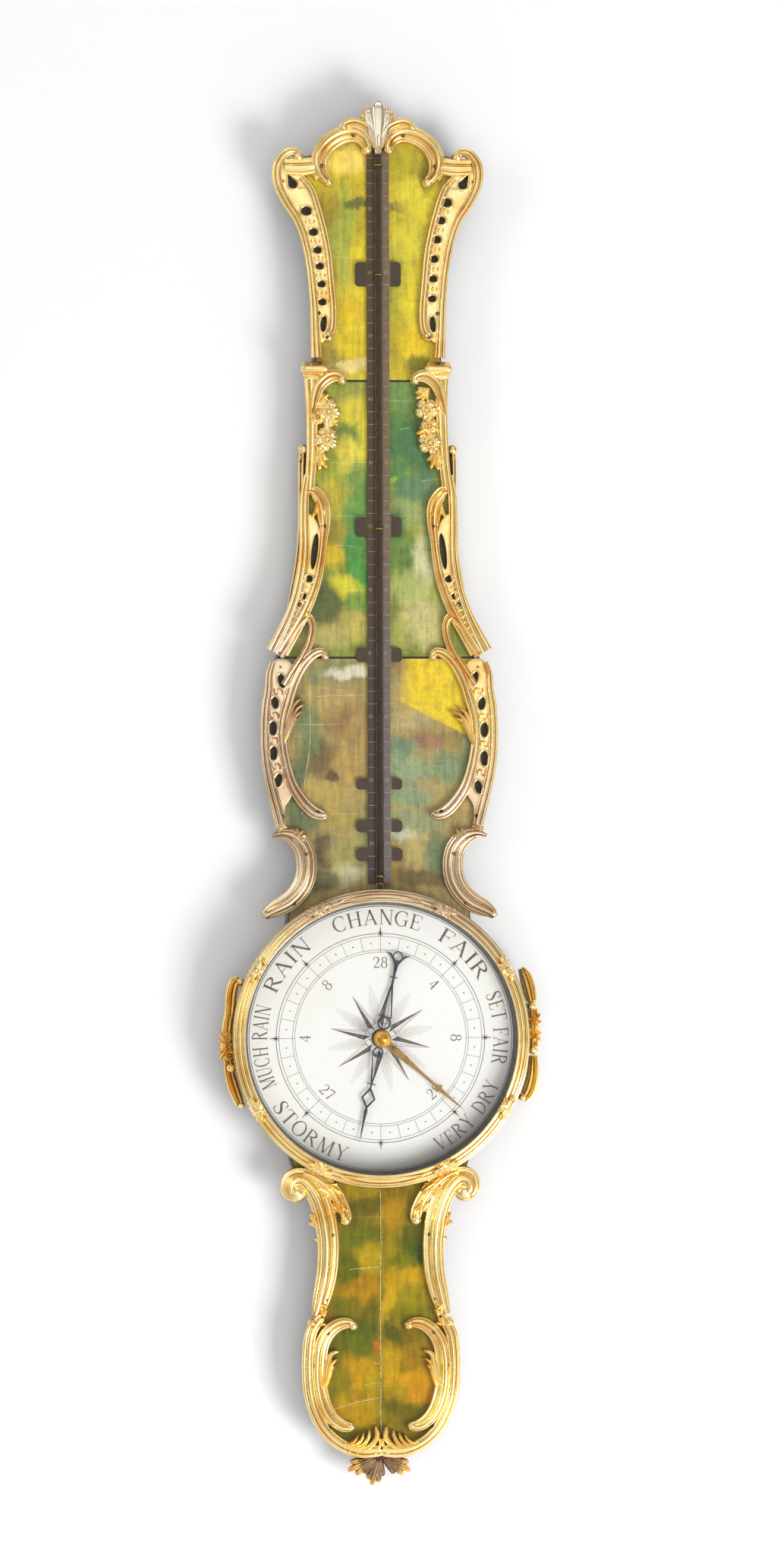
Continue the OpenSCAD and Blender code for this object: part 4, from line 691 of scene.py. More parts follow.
@dataclass
class Shapes:
    """Vertices and faces of a piece in the making, in drawing millimetres."""

    verts: list[np.ndarray] = field(default_factory=list)
    faces: list[list[int]] = field(default_factory=list)
    count: int = 0

    def add(self, verts: np.ndarray, faces: Iterable[Sequence[int]]) -> None:
        """Adds a closed shape."""
        self.faces += [[i + self.count for i in f] for f in faces]
        self.verts.append(verts)
        self.count += len(verts)

    def grid(self, points: np.ndarray, wrap: bool = False, cap: bool = False) -> None:
        """Adds a net of points as quads.

        Args:
            points: rows of points, each row a section.
            wrap: joins the last point of each row to its first.
            cap: closes the first and the last row.
        """
        rows, cols = points.shape[:2]
        last = cols if wrap else cols - 1
        faces: list[Sequence[int]] = [
            (i * cols + j, i * cols + (j + 1) % cols, (i + 1) * cols + (j + 1) % cols, (i + 1) * cols + j)
            for i in range(rows - 1) for j in range(last)
        ]
        if cap:
            faces += [list(range(cols))[::-1], [(rows - 1) * cols + j for j in range(cols)]]
        self.add(points.reshape(-1, 3), faces)

    def build(self, name: str, finish: Finish, side: int = 1, angle: float = 38.0,
              closed: bool = True) -> bpy.types.Object:
        """Makes the object, its place in its mesh.

        Args:
            name: name of the piece.
            finish: its finish.
            side: -1 mirrors it to the left half.
            angle: edges sharper than this, in degrees, stay sharp.
            closed: turns the faces outwards.

        Returns:
            The object at the origin.
        """
        verts = np.concatenate(self.verts)
        verts[:, 0] *= side
        mesh = bpy.data.meshes.new(name)
        mesh.from_pydata(place(verts).tolist(), [], self.faces)
        bm = bmesh.new()
        bm.from_mesh(mesh)
        if closed:
            bmesh.ops.recalc_face_normals(bm, faces=bm.faces)
        bm.to_mesh(mesh)
        bm.free()
        obj = new_object(name, mesh)
        smooth(obj, angle)
        mesh.materials.append(finish.material())
        return obj


def dress(node: str, finish: Finish) -> None:
    """Gives a CAD node its finish and leaves its shape alone."""
    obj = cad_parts[node]
    if not obj.material_slots:
        obj.data.materials.append(None)
    for slot in obj.material_slots:
        slot.material = finish.material()


def soften(node: str, width: float) -> None:
    """Rounds the edges of a CAD node with a live bevel."""
    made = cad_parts[node].modifiers.new("edges", "BEVEL")
    made.width = width * MM
    made.segments = 2
    made.limit_method = "ANGLE"
    made.angle_limit = math.radians(35)


def stand_for(obj: bpy.types.Object, body: str, slot: str, *nodes: str) -> None:
    """Lets a piece ride on a body and replace CAD nodes."""
    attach(obj, body)
    if nodes:
        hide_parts(*nodes)
    log.info("%s: %d faces", obj.name, len(obj.data.polygons))


# --------------------------------------------------------------- cast work


class Section(Enum):
    """Sections across a scroll: share of the half width, share of the height and the
    bulge of the arc that follows."""

    RAIL = ((-1, 0, 0), (-1, 0.42, 0), (-0.90, 0.60, 0.05), (-0.46, 0.64, 0), (-0.38, 0.54, 0), (-0.30, 0.66, 0.20),
            (0.46, 0.74, 0), (0.54, 0.60, 0), (0.62, 0.66, 0.06), (0.90, 0.56, 0), (1, 0.38, 0), (1, 0, 0))
    SCROLL = ((-1, 0, 0), (-1, 0.40, 0), (-0.92, 0.60, 0.05), (-0.66, 0.62, 0), (-0.60, 0.52, 0), (-0.50, 0.54, -0.08),
              (-0.10, 0.76, 0), (-0.02, 0.66, 0), (0.06, 0.76, 0.15), (0.66, 0.72, 0), (0.73, 0.58, 0),
              (0.80, 0.60, 0.04), (0.94, 0.50, 0), (1, 0.36, 0), (1, 0, 0))
    BROAD = ((-1, 0, 0), (-1, 0.4, 0), (-0.94, 0.58, 0.05), (-0.76, 0.60, 0), (-0.71, 0.50, 0), (-0.64, 0.52, -0.10),
             (-0.24, 0.74, 0), (-0.18, 0.64, 0), (-0.12, 0.74, 0.18), (0.46, 0.74, 0), (0.52, 0.60, 0),
             (0.58, 0.66, 0.06), (0.78, 0.60, 0), (0.83, 0.50, 0), (0.88, 0.52, 0.04), (0.97, 0.44, 0), (1, 0.32, 0),
             (1, 0, 0))
    ROUND = ((-1, 0, 0), (-1, 0.35, 0.5), (1, 0.35, 0), (1, 0, 0))

    def points(self, pieces: int = 3) -> tuple[np.ndarray, np.ndarray]:
        """The section as shares of width and height, the height brought to 1."""
        us, hs = [], []
        stops = self.value
        for (u0, h0, bulge), (u1, h1, _) in zip(stops, stops[1:]):
            count = pieces * (2 if abs(u1 - u0) > 1 else 1) if bulge else 1
            for k in range(count):
                t = k / count
                us.append(u0 + (u1 - u0) * t)
                hs.append(h0 + (h1 - h0) * t + bulge * 4 * t * (1 - t))
        us.append(stops[-1][0])
        hs.append(stops[-1][1])
        heights = np.array(hs)
        return np.array(us), heights / heights.max()


@dataclass
class Casting:
    """One cast mount: scrolls, leaves, flowers and pierced ground on a flat back.

    Heights are shares of the relief, and base is the depth of the flat back.
    """

    name: str
    relief: float
    base: float = PANEL_FRONT
    shapes: Shapes = field(default_factory=Shapes)
    rng: np.random.Generator = field(default_factory=lambda: np.random.default_rng(4))

    def mount(self, finish: Finish, side: int = 1, slot: str = "gilt_bronze", ground: tuple | None = None) -> None:
        """Makes the casting, rounded all over but for the edge of its back, in place of its CAD node.

        Args:
            finish: its finish.
            side: -1 mirrors it to the left half.
            slot: its material slot, not used.
            ground: outline and holes of its pierced ground, and its thickness as a share of the relief.
        """
        obj = self.shapes.build(self.name, finish, side, CAST_ANGLE)
        if ground:
            outline, loops, share = ground
            plate = pierced_plate("ground", outline, loops, self.base, share * self.relief, finish, side)
            obj = join(obj, plate)
        stand_for(obj, "case", slot, self.name)

    def sweep(self, path: np.ndarray, half: np.ndarray, rise: np.ndarray, u: np.ndarray, h: np.ndarray,
              closed: bool = False) -> None:
        """Carries a section along a path.

        Args:
            path: points along the middle.
            half: half width at each point.
            rise: height at each point.
            u: places across the section, from -1 to 1.
            h: heights of the section, from 0 to 1.
            closed: joins the end to the start.
        """
        side = left_of(path, closed)
        xy = path[:, None, :2] + side[:, None, :] * (half[:, None] * u[None, :])[..., None]
        z = self.base + rise[:, None] * h[None, :]
        net = np.concatenate([xy, z[..., None]], axis=2)
        self.shapes.grid(np.concatenate([net, net[:1]]) if closed else net, wrap=True, cap=not closed)

    def scroll(self, route: Route, height: float = 1.0, section: Section = Section.RAIL, flip: bool = False,
               step: float = 1.0) -> None:
        """Adds a moulded band along a route.

        Args:
            route: x, y and width at each stop.
            height: share of the relief at its crest.
            section: its moulding.
            flip: swaps the two sides of the moulding.
            step: length of its pieces.
        """
        path = smooth_path(route, step)
        half = np.maximum(path[:, 2], 0.7) / 2
        rise = self.relief * height * (0.5 + 0.5 * np.minimum(1, half / 4))
        u, h = section.points()
        if flip:
            u, h = -u[::-1], h[::-1]
        self.sweep(path, half, rise, u, h)

    def finger(self, route: Route, height: float = 0.9) -> None:
        """Adds one rounded, tapering finger of a leaf, with a line along its middle.

        Args:
            route: x, y and width at each stop, from the root to the tip.
            height: share of the relief at its crest.
        """
        path = smooth_path(route, 0.7)
        s = np.linspace(0, 1, len(path))
        end = np.sqrt(np.clip(1 - (np.clip(s - 0.82, 0, 1) / 0.185) ** 2, 0.02, 1))
        half = np.maximum(path[:, 2], 0.6) / 2 * end
        rise = self.relief * height * (0.55 + 0.45 * end) * (0.86 + 0.14 * np.sin(math.pi * s))
        angle = np.linspace(0, math.pi, 11)
        u = np.concatenate([[-1], -np.cos(angle), [1]])
        h = np.concatenate([[0], 0.40 + 0.60 * np.sin(angle) ** 0.8, [0]])
        h -= 0.13 * np.exp(-((u / 0.14) ** 2))
        self.sweep(path, half, rise, u, h)

    def fan(self, x: float, y: float, turn: float, reach: float, spread: float, count: int = 5, width: float = 4.0,
            height: float = 0.9, curl: float = 0.25) -> None:
        """Adds a leaf of fingers that spread from one root.

        Args:
            x: place of the root.
            y: place of the root.
            turn: direction of the middle finger, in degrees from the right.
            reach: length of the longest finger.
            spread: angle between the outer fingers, in degrees.
            count: number of fingers.
            width: width of a finger.
            height: share of the relief at the middle finger's crest.
            curl: how far the fingers bend outwards, as a share of their length.
        """
        for k in sorted(range(count), key=lambda i: -abs(2 * i - count + 1)):
            share = 2 * k / max(count - 1, 1) - 1
            a = math.radians(turn + share * spread / 2)
            length = reach * (1 - 0.34 * abs(share) ** 1.3)
            dx, dy = math.cos(a), math.sin(a)
            bend = curl * share * length
            stops = [(x - dx, y - dy, width * 0.7), (x + dx * length * 0.5, y + dy * length * 0.5, width),
                     (x + dx * length - dy * bend * 0.7, y + dy * length + dx * bend * 0.7, width * 0.62)]
            self.finger(stops, height * (1 - 0.16 * abs(share)))

    def polar(self, x: float, y: float, radius: Callable, height: Callable, rings: int = 9, spokes: int = 60) -> None:
        """Adds a round shape.

        Args:
            x: place of its centre.
            y: place of its centre.
            radius: its radius at each angle.
            height: its height at each share of the radius and angle.
            rings: rings of points.
            spokes: points round each ring.
        """
        theta = np.linspace(0, 2 * math.pi, spokes, endpoint=False)[None, :]
        rho = np.linspace(0.02, 1, rings)[:, None]
        r = radius(theta) * rho
        z = self.base + height(rho, theta) * np.ones_like(r)
        top = np.stack([x + r * np.cos(theta), y + r * np.sin(theta), z], axis=2)
        foot = top[-1:].copy()
        foot[..., 2] = self.base
        self.shapes.grid(np.concatenate([top, foot]), wrap=True, cap=True)

    def ball(self, x: float, y: float, r: float, height: float = 0.95, low: float = 0.35) -> None:
        """Adds the rounded knob in which a scroll ends."""
        crest = self.relief * height
        self.polar(x, y, lambda t: r + 0 * t,
                   lambda p, t: crest * (low + (1 - low) * np.sqrt(np.clip(1 - p**2, 0, 1))), 7, 28)

    def bead(self, x: float, y: float, r: float, height: float) -> None:
        """Adds one small round bead."""
        self.ball(x, y, r, height, 0.7)

    def flower(self, x: float, y: float, r: float, height: float = 1.0, petals: int = 5) -> None:
        """Adds an open flower with ribbed, cupped petals round an eye."""
        for layer, (size, low) in enumerate(((1.0, 0.0), (0.58, 0.14))):
            turn = self.rng.uniform(0, 6.28) + layer * math.pi / petals
            lean, to = self.rng.uniform(0.03, 0.09), self.rng.uniform(0, 6.28)
            crest = self.relief * height

            def edge(t: np.ndarray, size: float = size, turn: float = turn) -> np.ndarray:
                petal = np.abs(np.cos(petals / 2 * (t + turn)))
                return r * size * (0.76 + 0.26 * petal**0.6)

            def rise(p: np.ndarray, t: np.ndarray, layer: int = layer, low: float = low, turn: float = turn,
                     lean: float = lean, to: float = to) -> np.ndarray:
                petal = np.abs(np.cos(petals / 2 * (t + turn)))
                bowl = 0.52 + low + 0.24 * np.sin(np.clip(p, 0, 1) * 2.5) * (0.62 + 0.38 * petal**0.5) - 0.12 * p**4
                eye = layer * (0.20 * np.exp(-((p / 0.24) ** 2)) - 0.12 * np.exp(-(((p - 0.42) / 0.12) ** 2)))
                ribs = 0.07 * np.cos(petals * 3 * (t + turn)) * np.clip(p - 0.25, 0, 1)
                return crest * np.clip(bowl + eye + ribs + lean * p * np.cos(t - to), 0.2, 1.0)

            self.polar(x, y, edge, rise, 12, 100)

    def rim(self, loop: Sequence[Point], width: float = 1.5, height: float = 0.5) -> None:
        """Adds a raised round edge along a closed line."""
        path = smooth_path([(px, py) for px, py in loop], 0.7, closed=True)
        angle = np.linspace(0, math.pi, 6)
        u = np.concatenate([[-1], -np.cos(angle), [1]])
        h = np.concatenate([[0], 0.6 + 0.4 * np.sin(angle), [0]])
        every = np.ones(len(path))
        self.sweep(path, width / 2 * every, self.relief * height * every, u, h, closed=True)


def grown(loop: Sequence[Point], by: float) -> list[Point]:
    """A closed line moved away from its middle by a distance."""
    points = np.array(loop, float)
    away = points - points.mean(axis=0)
    away /= np.linalg.norm(away, axis=1, keepdims=True) + 1e-9
    return [tuple(p) for p in points + away * by]


def ring_loop(x: float, y: float, rx: float, ry: float, turn: float = 0.0, count: int = 16) -> list[Point]:
    """Points round an ellipse."""
    c, s = math.cos(math.radians(turn)), math.sin(math.radians(turn))
    out = []
    for k in range(count):
        a = 2 * math.pi * k / count
        px, py = rx * math.cos(a), ry * math.sin(a)
        out.append((x + px * c - py * s, y + px * s + py * c))
    return out


def drop_loop(x: float, y: float, r: float, length: float, turn: float) -> list[Point]:
    """Points round a hole shaped like a drop, point at the top."""
    c, s = math.cos(math.radians(turn)), math.sin(math.radians(turn))
    raw = [(0.0, length - r)] + [
        (r * math.cos(math.radians(a)), r * math.sin(math.radians(a))) for a in range(150, 391, 30)
    ]
    raw.insert(1, (-r * 0.55, (length - r) * 0.5))
    raw.append((r * 0.55, (length - r) * 0.5))
    return [(x + px * c - py * s, y + px * s + py * c) for px, py in raw]


HOLES: list[np.ndarray] = []


def pierced_plate(name: str, outline: Sequence[Point], holes: Sequence[Sequence[Point]], base: float, height: float,
                  finish: Finish, side: int) -> bpy.types.Object:
    """Flat plate with holes and rounded edges, made from filled curves.

    Args:
        name: name of the piece.
        outline: its outer line.
        holes: lines of its holes.
        base: depth of its back.
        height: its thickness.
        finish: its finish.
        side: -1 mirrors it to the left half.

    Returns:
        The plate as a mesh, at its place.
    """
    curve = bpy.data.curves.new(name, "CURVE")
    curve.dimensions = "2D"
    curve.fill_mode = "BOTH"
    bevel = 0.35
    curve.extrude = (height / 2 - bevel) * MM
    curve.bevel_depth = bevel * MM
    curve.bevel_resolution = 1
    HOLES.extend(smooth_path(loop, 1.0, closed=True) * (side, 1) for loop in holes)
    for loop in [outline, *holes]:
        path = smooth_path(loop, 1.0, closed=True)
        spline = curve.splines.new("POLY")
        spline.points.add(len(path) - 1)
        for point, (px, py) in zip(spline.points, path[:, :2]):
            point.co = (side * px * MM, py * MM, 0, 1)
        spline.use_cyclic_u = True
    activate(new_object(name, curve))
    bpy.ops.object.convert(target="MESH")
    obj = bpy.context.object
    obj.data.transform(Matrix.Translation((0, 0, (base + height / 2) * MM)))
    obj.data.transform(Matrix(((1, 0, 0, 0), (0, 0, -1, 0), (0, 1, 0, -HOOK_Y * MM), (0, 0, 0, 1))))
    weld(obj, 0.00001)
    smooth(obj, 35)
    obj.data.materials.clear()
    obj.data.materials.append(finish.material())
    return obj


def join(first: bpy.types.Object, *others: bpy.types.Object) -> bpy.types.Object:
    """Joins pieces of one finish into the first."""
    activate(first)
    for obj in others:
        obj.select_set(True)
    if others:
        bpy.ops.object.join()
    return bpy.context.object


SIDES = {"left": -1, "right": 1}


def mirrored(route: Route, side: int) -> Route:
    """A route of the right half, or its mirror image for the side -1."""
    return [(side * x, y, w) for x, y, w in route]


@dataclass
class CrestWork:
    """The finial leaf and the two scroll arms at the head of the case."""

    relief: float = 9.5
    arm: Route = ((8.5, 714.5, 7.5), (12, 722, 11), (20, 726, 13.5), (31, 724, 14.5), (41.5, 716.5, 14.5),
                  (47, 705.5, 14), (45.5, 695, 10.5), (40.2, 688, 7))
    bar: Route = ((75, 699.5, 13.5), (64, 699.2, 14.5), (55, 700, 14.5), (47, 701.5, 12))
    leaf: Route = ((0, 710, 6), (0, 720, 7.5), (0, 732, 10.5), (0, 744, 12.6), (0, 753.6, 11))
    silvered: Route = ((2, 715, 5), (4.6, 726, 7), (7.0, 737, 8), (8.6, 747.4, 6.6))
    lobes: tuple[Route, ...] = (((1.5, 726, 4), (5.5, 736, 5.5), (8.8, 743.5, 5), (10.2, 748.5, 3.4)),
                                ((1.5, 724, 3.5), (6.5, 732, 4.5), (11, 738.5, 4), (13, 743.5, 2.6)))
    curl: Route = ((3, 721, 6), (9, 731, 8.2), (18.5, 735.2, 8.2), (25.5, 733.8, 7.4), (29, 730.6, 5.6))

    def build(self) -> None:
        """Makes the three castings."""
        for label, side in SIDES.items():
            arm = Casting(f"crest_arm_{label}", self.relief)
            arm.scroll(self.bar, 0.80, Section.RAIL)
            arm.scroll(self.arm, 1.0, Section.SCROLL)
            arm.ball(8.9, 713.4, 4.4, 0.94)
            arm.ball(39.8, 687.4, 4.3, 0.92)
            arm.fan(52, 694, 205, 9, 60, 3, 4.0, 0.7)
            arm.mount(GILT, side)
        top = Casting("crest_finial", self.relief)
        for side in (-1, 1):
            top.scroll(mirrored(self.curl, side), 0.92, Section.SCROLL, flip=side < 0)
            top.ball(side * 27.8, 731.4, 4.0, 0.94)
            for lobe in self.lobes[::-1]:
                top.finger(mirrored(lobe, side), 0.78)
        for side in (-1, 1):
            top.finger(mirrored(self.silvered, side), 0.84)
        top.finger(self.leaf, 0.98)
        top.mount(SILVERED)


@dataclass
class ShoulderWork:
    """The pierced bars that frame the top of the case."""

    relief: float = 8.0
    outer: Route = ((62.5, 707.5, 4), (67, 712, 6), (75, 709.5, 8), (80.8, 699, 8.5), (80, 685, 8), (73, 670.5, 7.5),
                    (64.5, 657, 7), (58.5, 640, 6.5), (54.3, 618, 6.5), (51.5, 590, 7), (50.5, 566, 8),
                    (49.5, 546.5, 9.5))
    inner: Route = ((62, 691, 6), (54, 681, 7), (48.5, 665, 7), (44, 648, 7), (40.5, 630, 7), (38.3, 607, 7),
                    (36.5, 585, 7), (37, 571, 7), (40.5, 563.5, 8))
    plate: tuple[Point, ...] = ((76, 700), (79, 688), (71, 670), (60, 650), (54, 620), (51, 590), (50, 562), (44, 560),
                                (36.5, 574), (38.5, 610), (43, 643), (48, 666), (56, 684), (62, 694))
    holes: dict[str, tuple[Stop, ...]] = field(default_factory=lambda: {
        "left": ((57.8, 664, 4.4), (52, 647.2, 3.7), (48.8, 632.7, 3.5), (47, 619.8, 3.4), (45.6, 605.4, 3.3),
                 (45, 591, 3.3)),
        "right": ((55.6, 671.2, 4.3), (50.8, 656.9, 3.8), (47.4, 641.5, 3.7), (45.2, 625.9, 3.6), (44.4, 610, 3.5),
                  (43.6, 594, 3.4)),
    })

    def build(self) -> None:
        """Makes both shoulder mounts."""
        for label, side in SIDES.items():
            cast = Casting(f"shoulder_mount_{label}", self.relief)
            cast.scroll(self.outer, 1.0, Section.RAIL, flip=True)
            cast.scroll(self.inner, 0.85, Section.RAIL)
            cast.ball(40.8, 563.8, 5.0, 0.92)
            cast.ball(64.0, 708.0, 4.2, 0.9)
            holes = self.holes[label]
            drop = drop_loop(68.5, 685.5, 3.8, 13, -28)
            slot = ring_loop(44, 573.5, 2.6, 6.6, 6)
            loops = [drop, slot] + [ring_loop(x, y, r, r * 0.9) for x, y, r in holes]
            for loop in loops:
                cast.rim(grown(loop, 0.8), 1.7, 0.78)
            for (xa, ya, _), (xb, yb, _) in zip(holes, holes[1:]):
                for share, r in ((0.5, 1.25), (0.40, 0.7), (0.60, 0.7)):
                    cast.bead(xa + (xb - xa) * share, ya + (yb - ya) * share, r, 0.84)
                x, y = (xa + xb) / 2, (ya + yb) / 2
                for sign in (-1, 1):
                    cast.finger([(x + sign * 2.6, y - 1.8, 1.0),
                                 (x + sign * 3.6, y, 1.3), (x + sign * 2.8, y + 1.9, 1.0)],
                                0.76)
            cast.mount(GILT, side, ground=(self.plate, loops, 0.50))


@dataclass
class FlowerWork:
    """The pilasters with their capitals, flowers and pierced feet."""

    relief: float = 10.5
    pilaster: Route = ((52.6, 537, 14), (52.4, 525, 12), (52.4, 505, 10), (52.6, 485, 9.4), (53.4, 463, 9.2),
                       (55.4, 440, 8.8))
    hook: Route = ((53.6, 501, 4.5), (51.2, 513, 8.5), (47.2, 524.5, 11), (40, 531, 11.8), (33, 531.6, 10),
                   (28.6, 528.6, 7))
    foot_outer: Route = ((57, 452, 6), (59.3, 436, 7.4), (59.8, 415, 8), (59.6, 395, 8.6), (61, 377, 9.2),
                         (65, 357, 9.6), (71, 339, 10.6), (78.8, 322, 13), (84.5, 310, 15))
    foot_inner: Route = ((56.5, 440, 5), (50.5, 438, 10.5), (44.8, 428, 12), (43.4, 414, 9.8), (44.6, 400, 7.2),
                         (46.4, 385, 7.4), (49.5, 369, 8), (54.5, 354, 9), (61.5, 339, 10), (71, 323, 12),
                         (79, 310, 14))
    plate: tuple[Point, ...] = ((50, 414), (59, 420), (59, 396), (65, 358), (80, 318), (72, 318), (60, 342),
                                (49.5, 366), (46, 392))
    holes: tuple[Stop, ...] = ((56.3, 368.9, 3.1), (60.7, 354.8, 2.8), (65.9, 340.8, 2.4))
    flowers: dict[str, tuple[Stop, ...]] = field(default_factory=lambda: {
        "left": ((49.4, 498.6, 6.2), (40.6, 503.4, 10.4), (42.0, 480.8, 9.8)),
        "right": ((40.8, 491.6, 7.2), (38.6, 504.4, 9.4), (41.2, 478.4, 9.8)),
    })
    stem: Route = ((51, 508, 5), (43, 502, 7), (41, 492, 8), (42, 480, 8), (50, 466, 7))
    sprays: dict[str, tuple[tuple[float, ...], ...]] = field(default_factory=lambda: {
        "left": ((42, 497, 200, 12, 40, 4, 4.0), (49, 474, 256, 20, 34, 4, 4.8), (46, 512, 140, 9, 50, 3, 3.8)),
        "right": ((40, 521, 218, 13, 74, 5, 4.8), (40, 490, 206, 11.5, 40, 3, 4.4), (47, 474, 262, 20, 40, 4, 5.0)),
    })
    lean: dict[str, float] = field(default_factory=lambda: {"left": 1.4, "right": -2.2})
    capital: tuple[tuple[float, float, float, float], ...] = (
        (43.6, 58.4, 529.0, 0.62), (43.2, 58.6, 530.6, 0.60), (41.4, 59.6, 532.2, 0.74), (41.0, 59.8, 532.8, 0.82),
        (42.0, 59.4, 533.4, 0.78), (40.2, 60.4, 534.6, 0.96), (39.4, 61.0, 536.2, 1.08), (39.2, 61.2, 538.0, 1.10),
        (39.4, 61.0, 539.2, 1.04), (40.2, 60.6, 539.8, 0.92), (40.8, 60.2, 541.6, 0.66), (41.6, 59.8, 543.2, 0.48),
    )

    def block(self, cast: Casting, shift: float) -> None:
        """Adds the moulded capital as stacked slices that swell and shrink, moved outwards by a shift."""
        rows = []
        for x0, x1, y, h in self.capital:
            z = cast.base + cast.relief * h
            x0, x1 = x0 + shift, x1 + shift
            rows.append([(x0, y, cast.base), (x0, y, z - 1.6), (x0 + 1.2, y, z - 0.3), (x0 + 3, y, z), (x1 - 3, y, z),
                         (x1 - 1.2, y, z - 0.3), (x1, y, z - 1.6), (x1, y, cast.base)])
        cast.shapes.grid(np.array(rows, float), wrap=True, cap=True)

    def build(self) -> None:
        """Makes both flower mounts."""
        for label, side in SIDES.items():
            cast = Casting(f"flower_mount_{label}", self.relief, rng=np.random.default_rng(7 + side))
            shift = self.lean[label]
            self.block(cast, shift)
            cast.scroll([(x + shift * (y - 430) / 107, y, w) for x, y, w in self.pilaster], 0.56, Section.RAIL,
                        flip=True)
            cast.scroll(self.hook, 0.90, Section.SCROLL, flip=True)
            cast.scroll(self.foot_outer, 0.70, Section.RAIL, flip=True)
            cast.scroll(self.foot_inner, 0.72, Section.SCROLL)
            cast.ball(29.4, 528.4, 4.3, 0.9)
            cast.fan(49.5, 431, 262, 21, 34, 3, 4.4, 0.84)
            slit = ring_loop(51.8, 391, 2.8, 15, 7)
            loops = [slit] + [ring_loop(x, y, r, r) for x, y, r in self.holes]
            for loop in loops[1:]:
                cast.rim(grown(loop, 0.8), 1.7, 0.66)
            for x, y in ((58.4, 361.8), (63.4, 347.6), (69, 334), (71.6, 329.4), (74.4, 324.4)):
                cast.bead(x, y, 1.3, 0.74)
            cast.scroll(self.stem, 0.62, Section.ROUND)
            for x, y, turn, reach, spread, count, width in self.sprays[label]:
                cast.fan(x, y, turn, reach, spread, int(count), width, 0.82)
            for x, y, r in self.flowers[label]:
                cast.flower(x, y, r)
            cast.mount(GILT, side, ground=(self.plate, loops, 0.44))


@dataclass
class SideStrips:
    """The narrow mouldings on the sides of the waist, each with a rolled head."""

    relief: float = 18.2
    base: float = 15.0
    route: Route = ((60.2, 474, 6), (60.9, 462, 6.4), (61.2, 440, 6), (61.6, 420, 5.6), (62.6, 398, 5.2),
                    (65, 378, 5), (68.6, 360, 4.6), (71.8, 346, 3.6))

    def build(self) -> None:
        """Makes both strips."""
        for label, side in SIDES.items():
            cast = Casting(f"side_moulding_{label}", self.relief, self.base)
            cast.scroll(self.route, 1.0, Section.RAIL, flip=True)
            cast.ball(60.4, 473.0, 4.0, 1.02, 0.8)
            cast.fan(60.6, 470, 268, 12, 30, 2, 2.6, 1.02)
            cast.mount(STRIP_GILT, side)


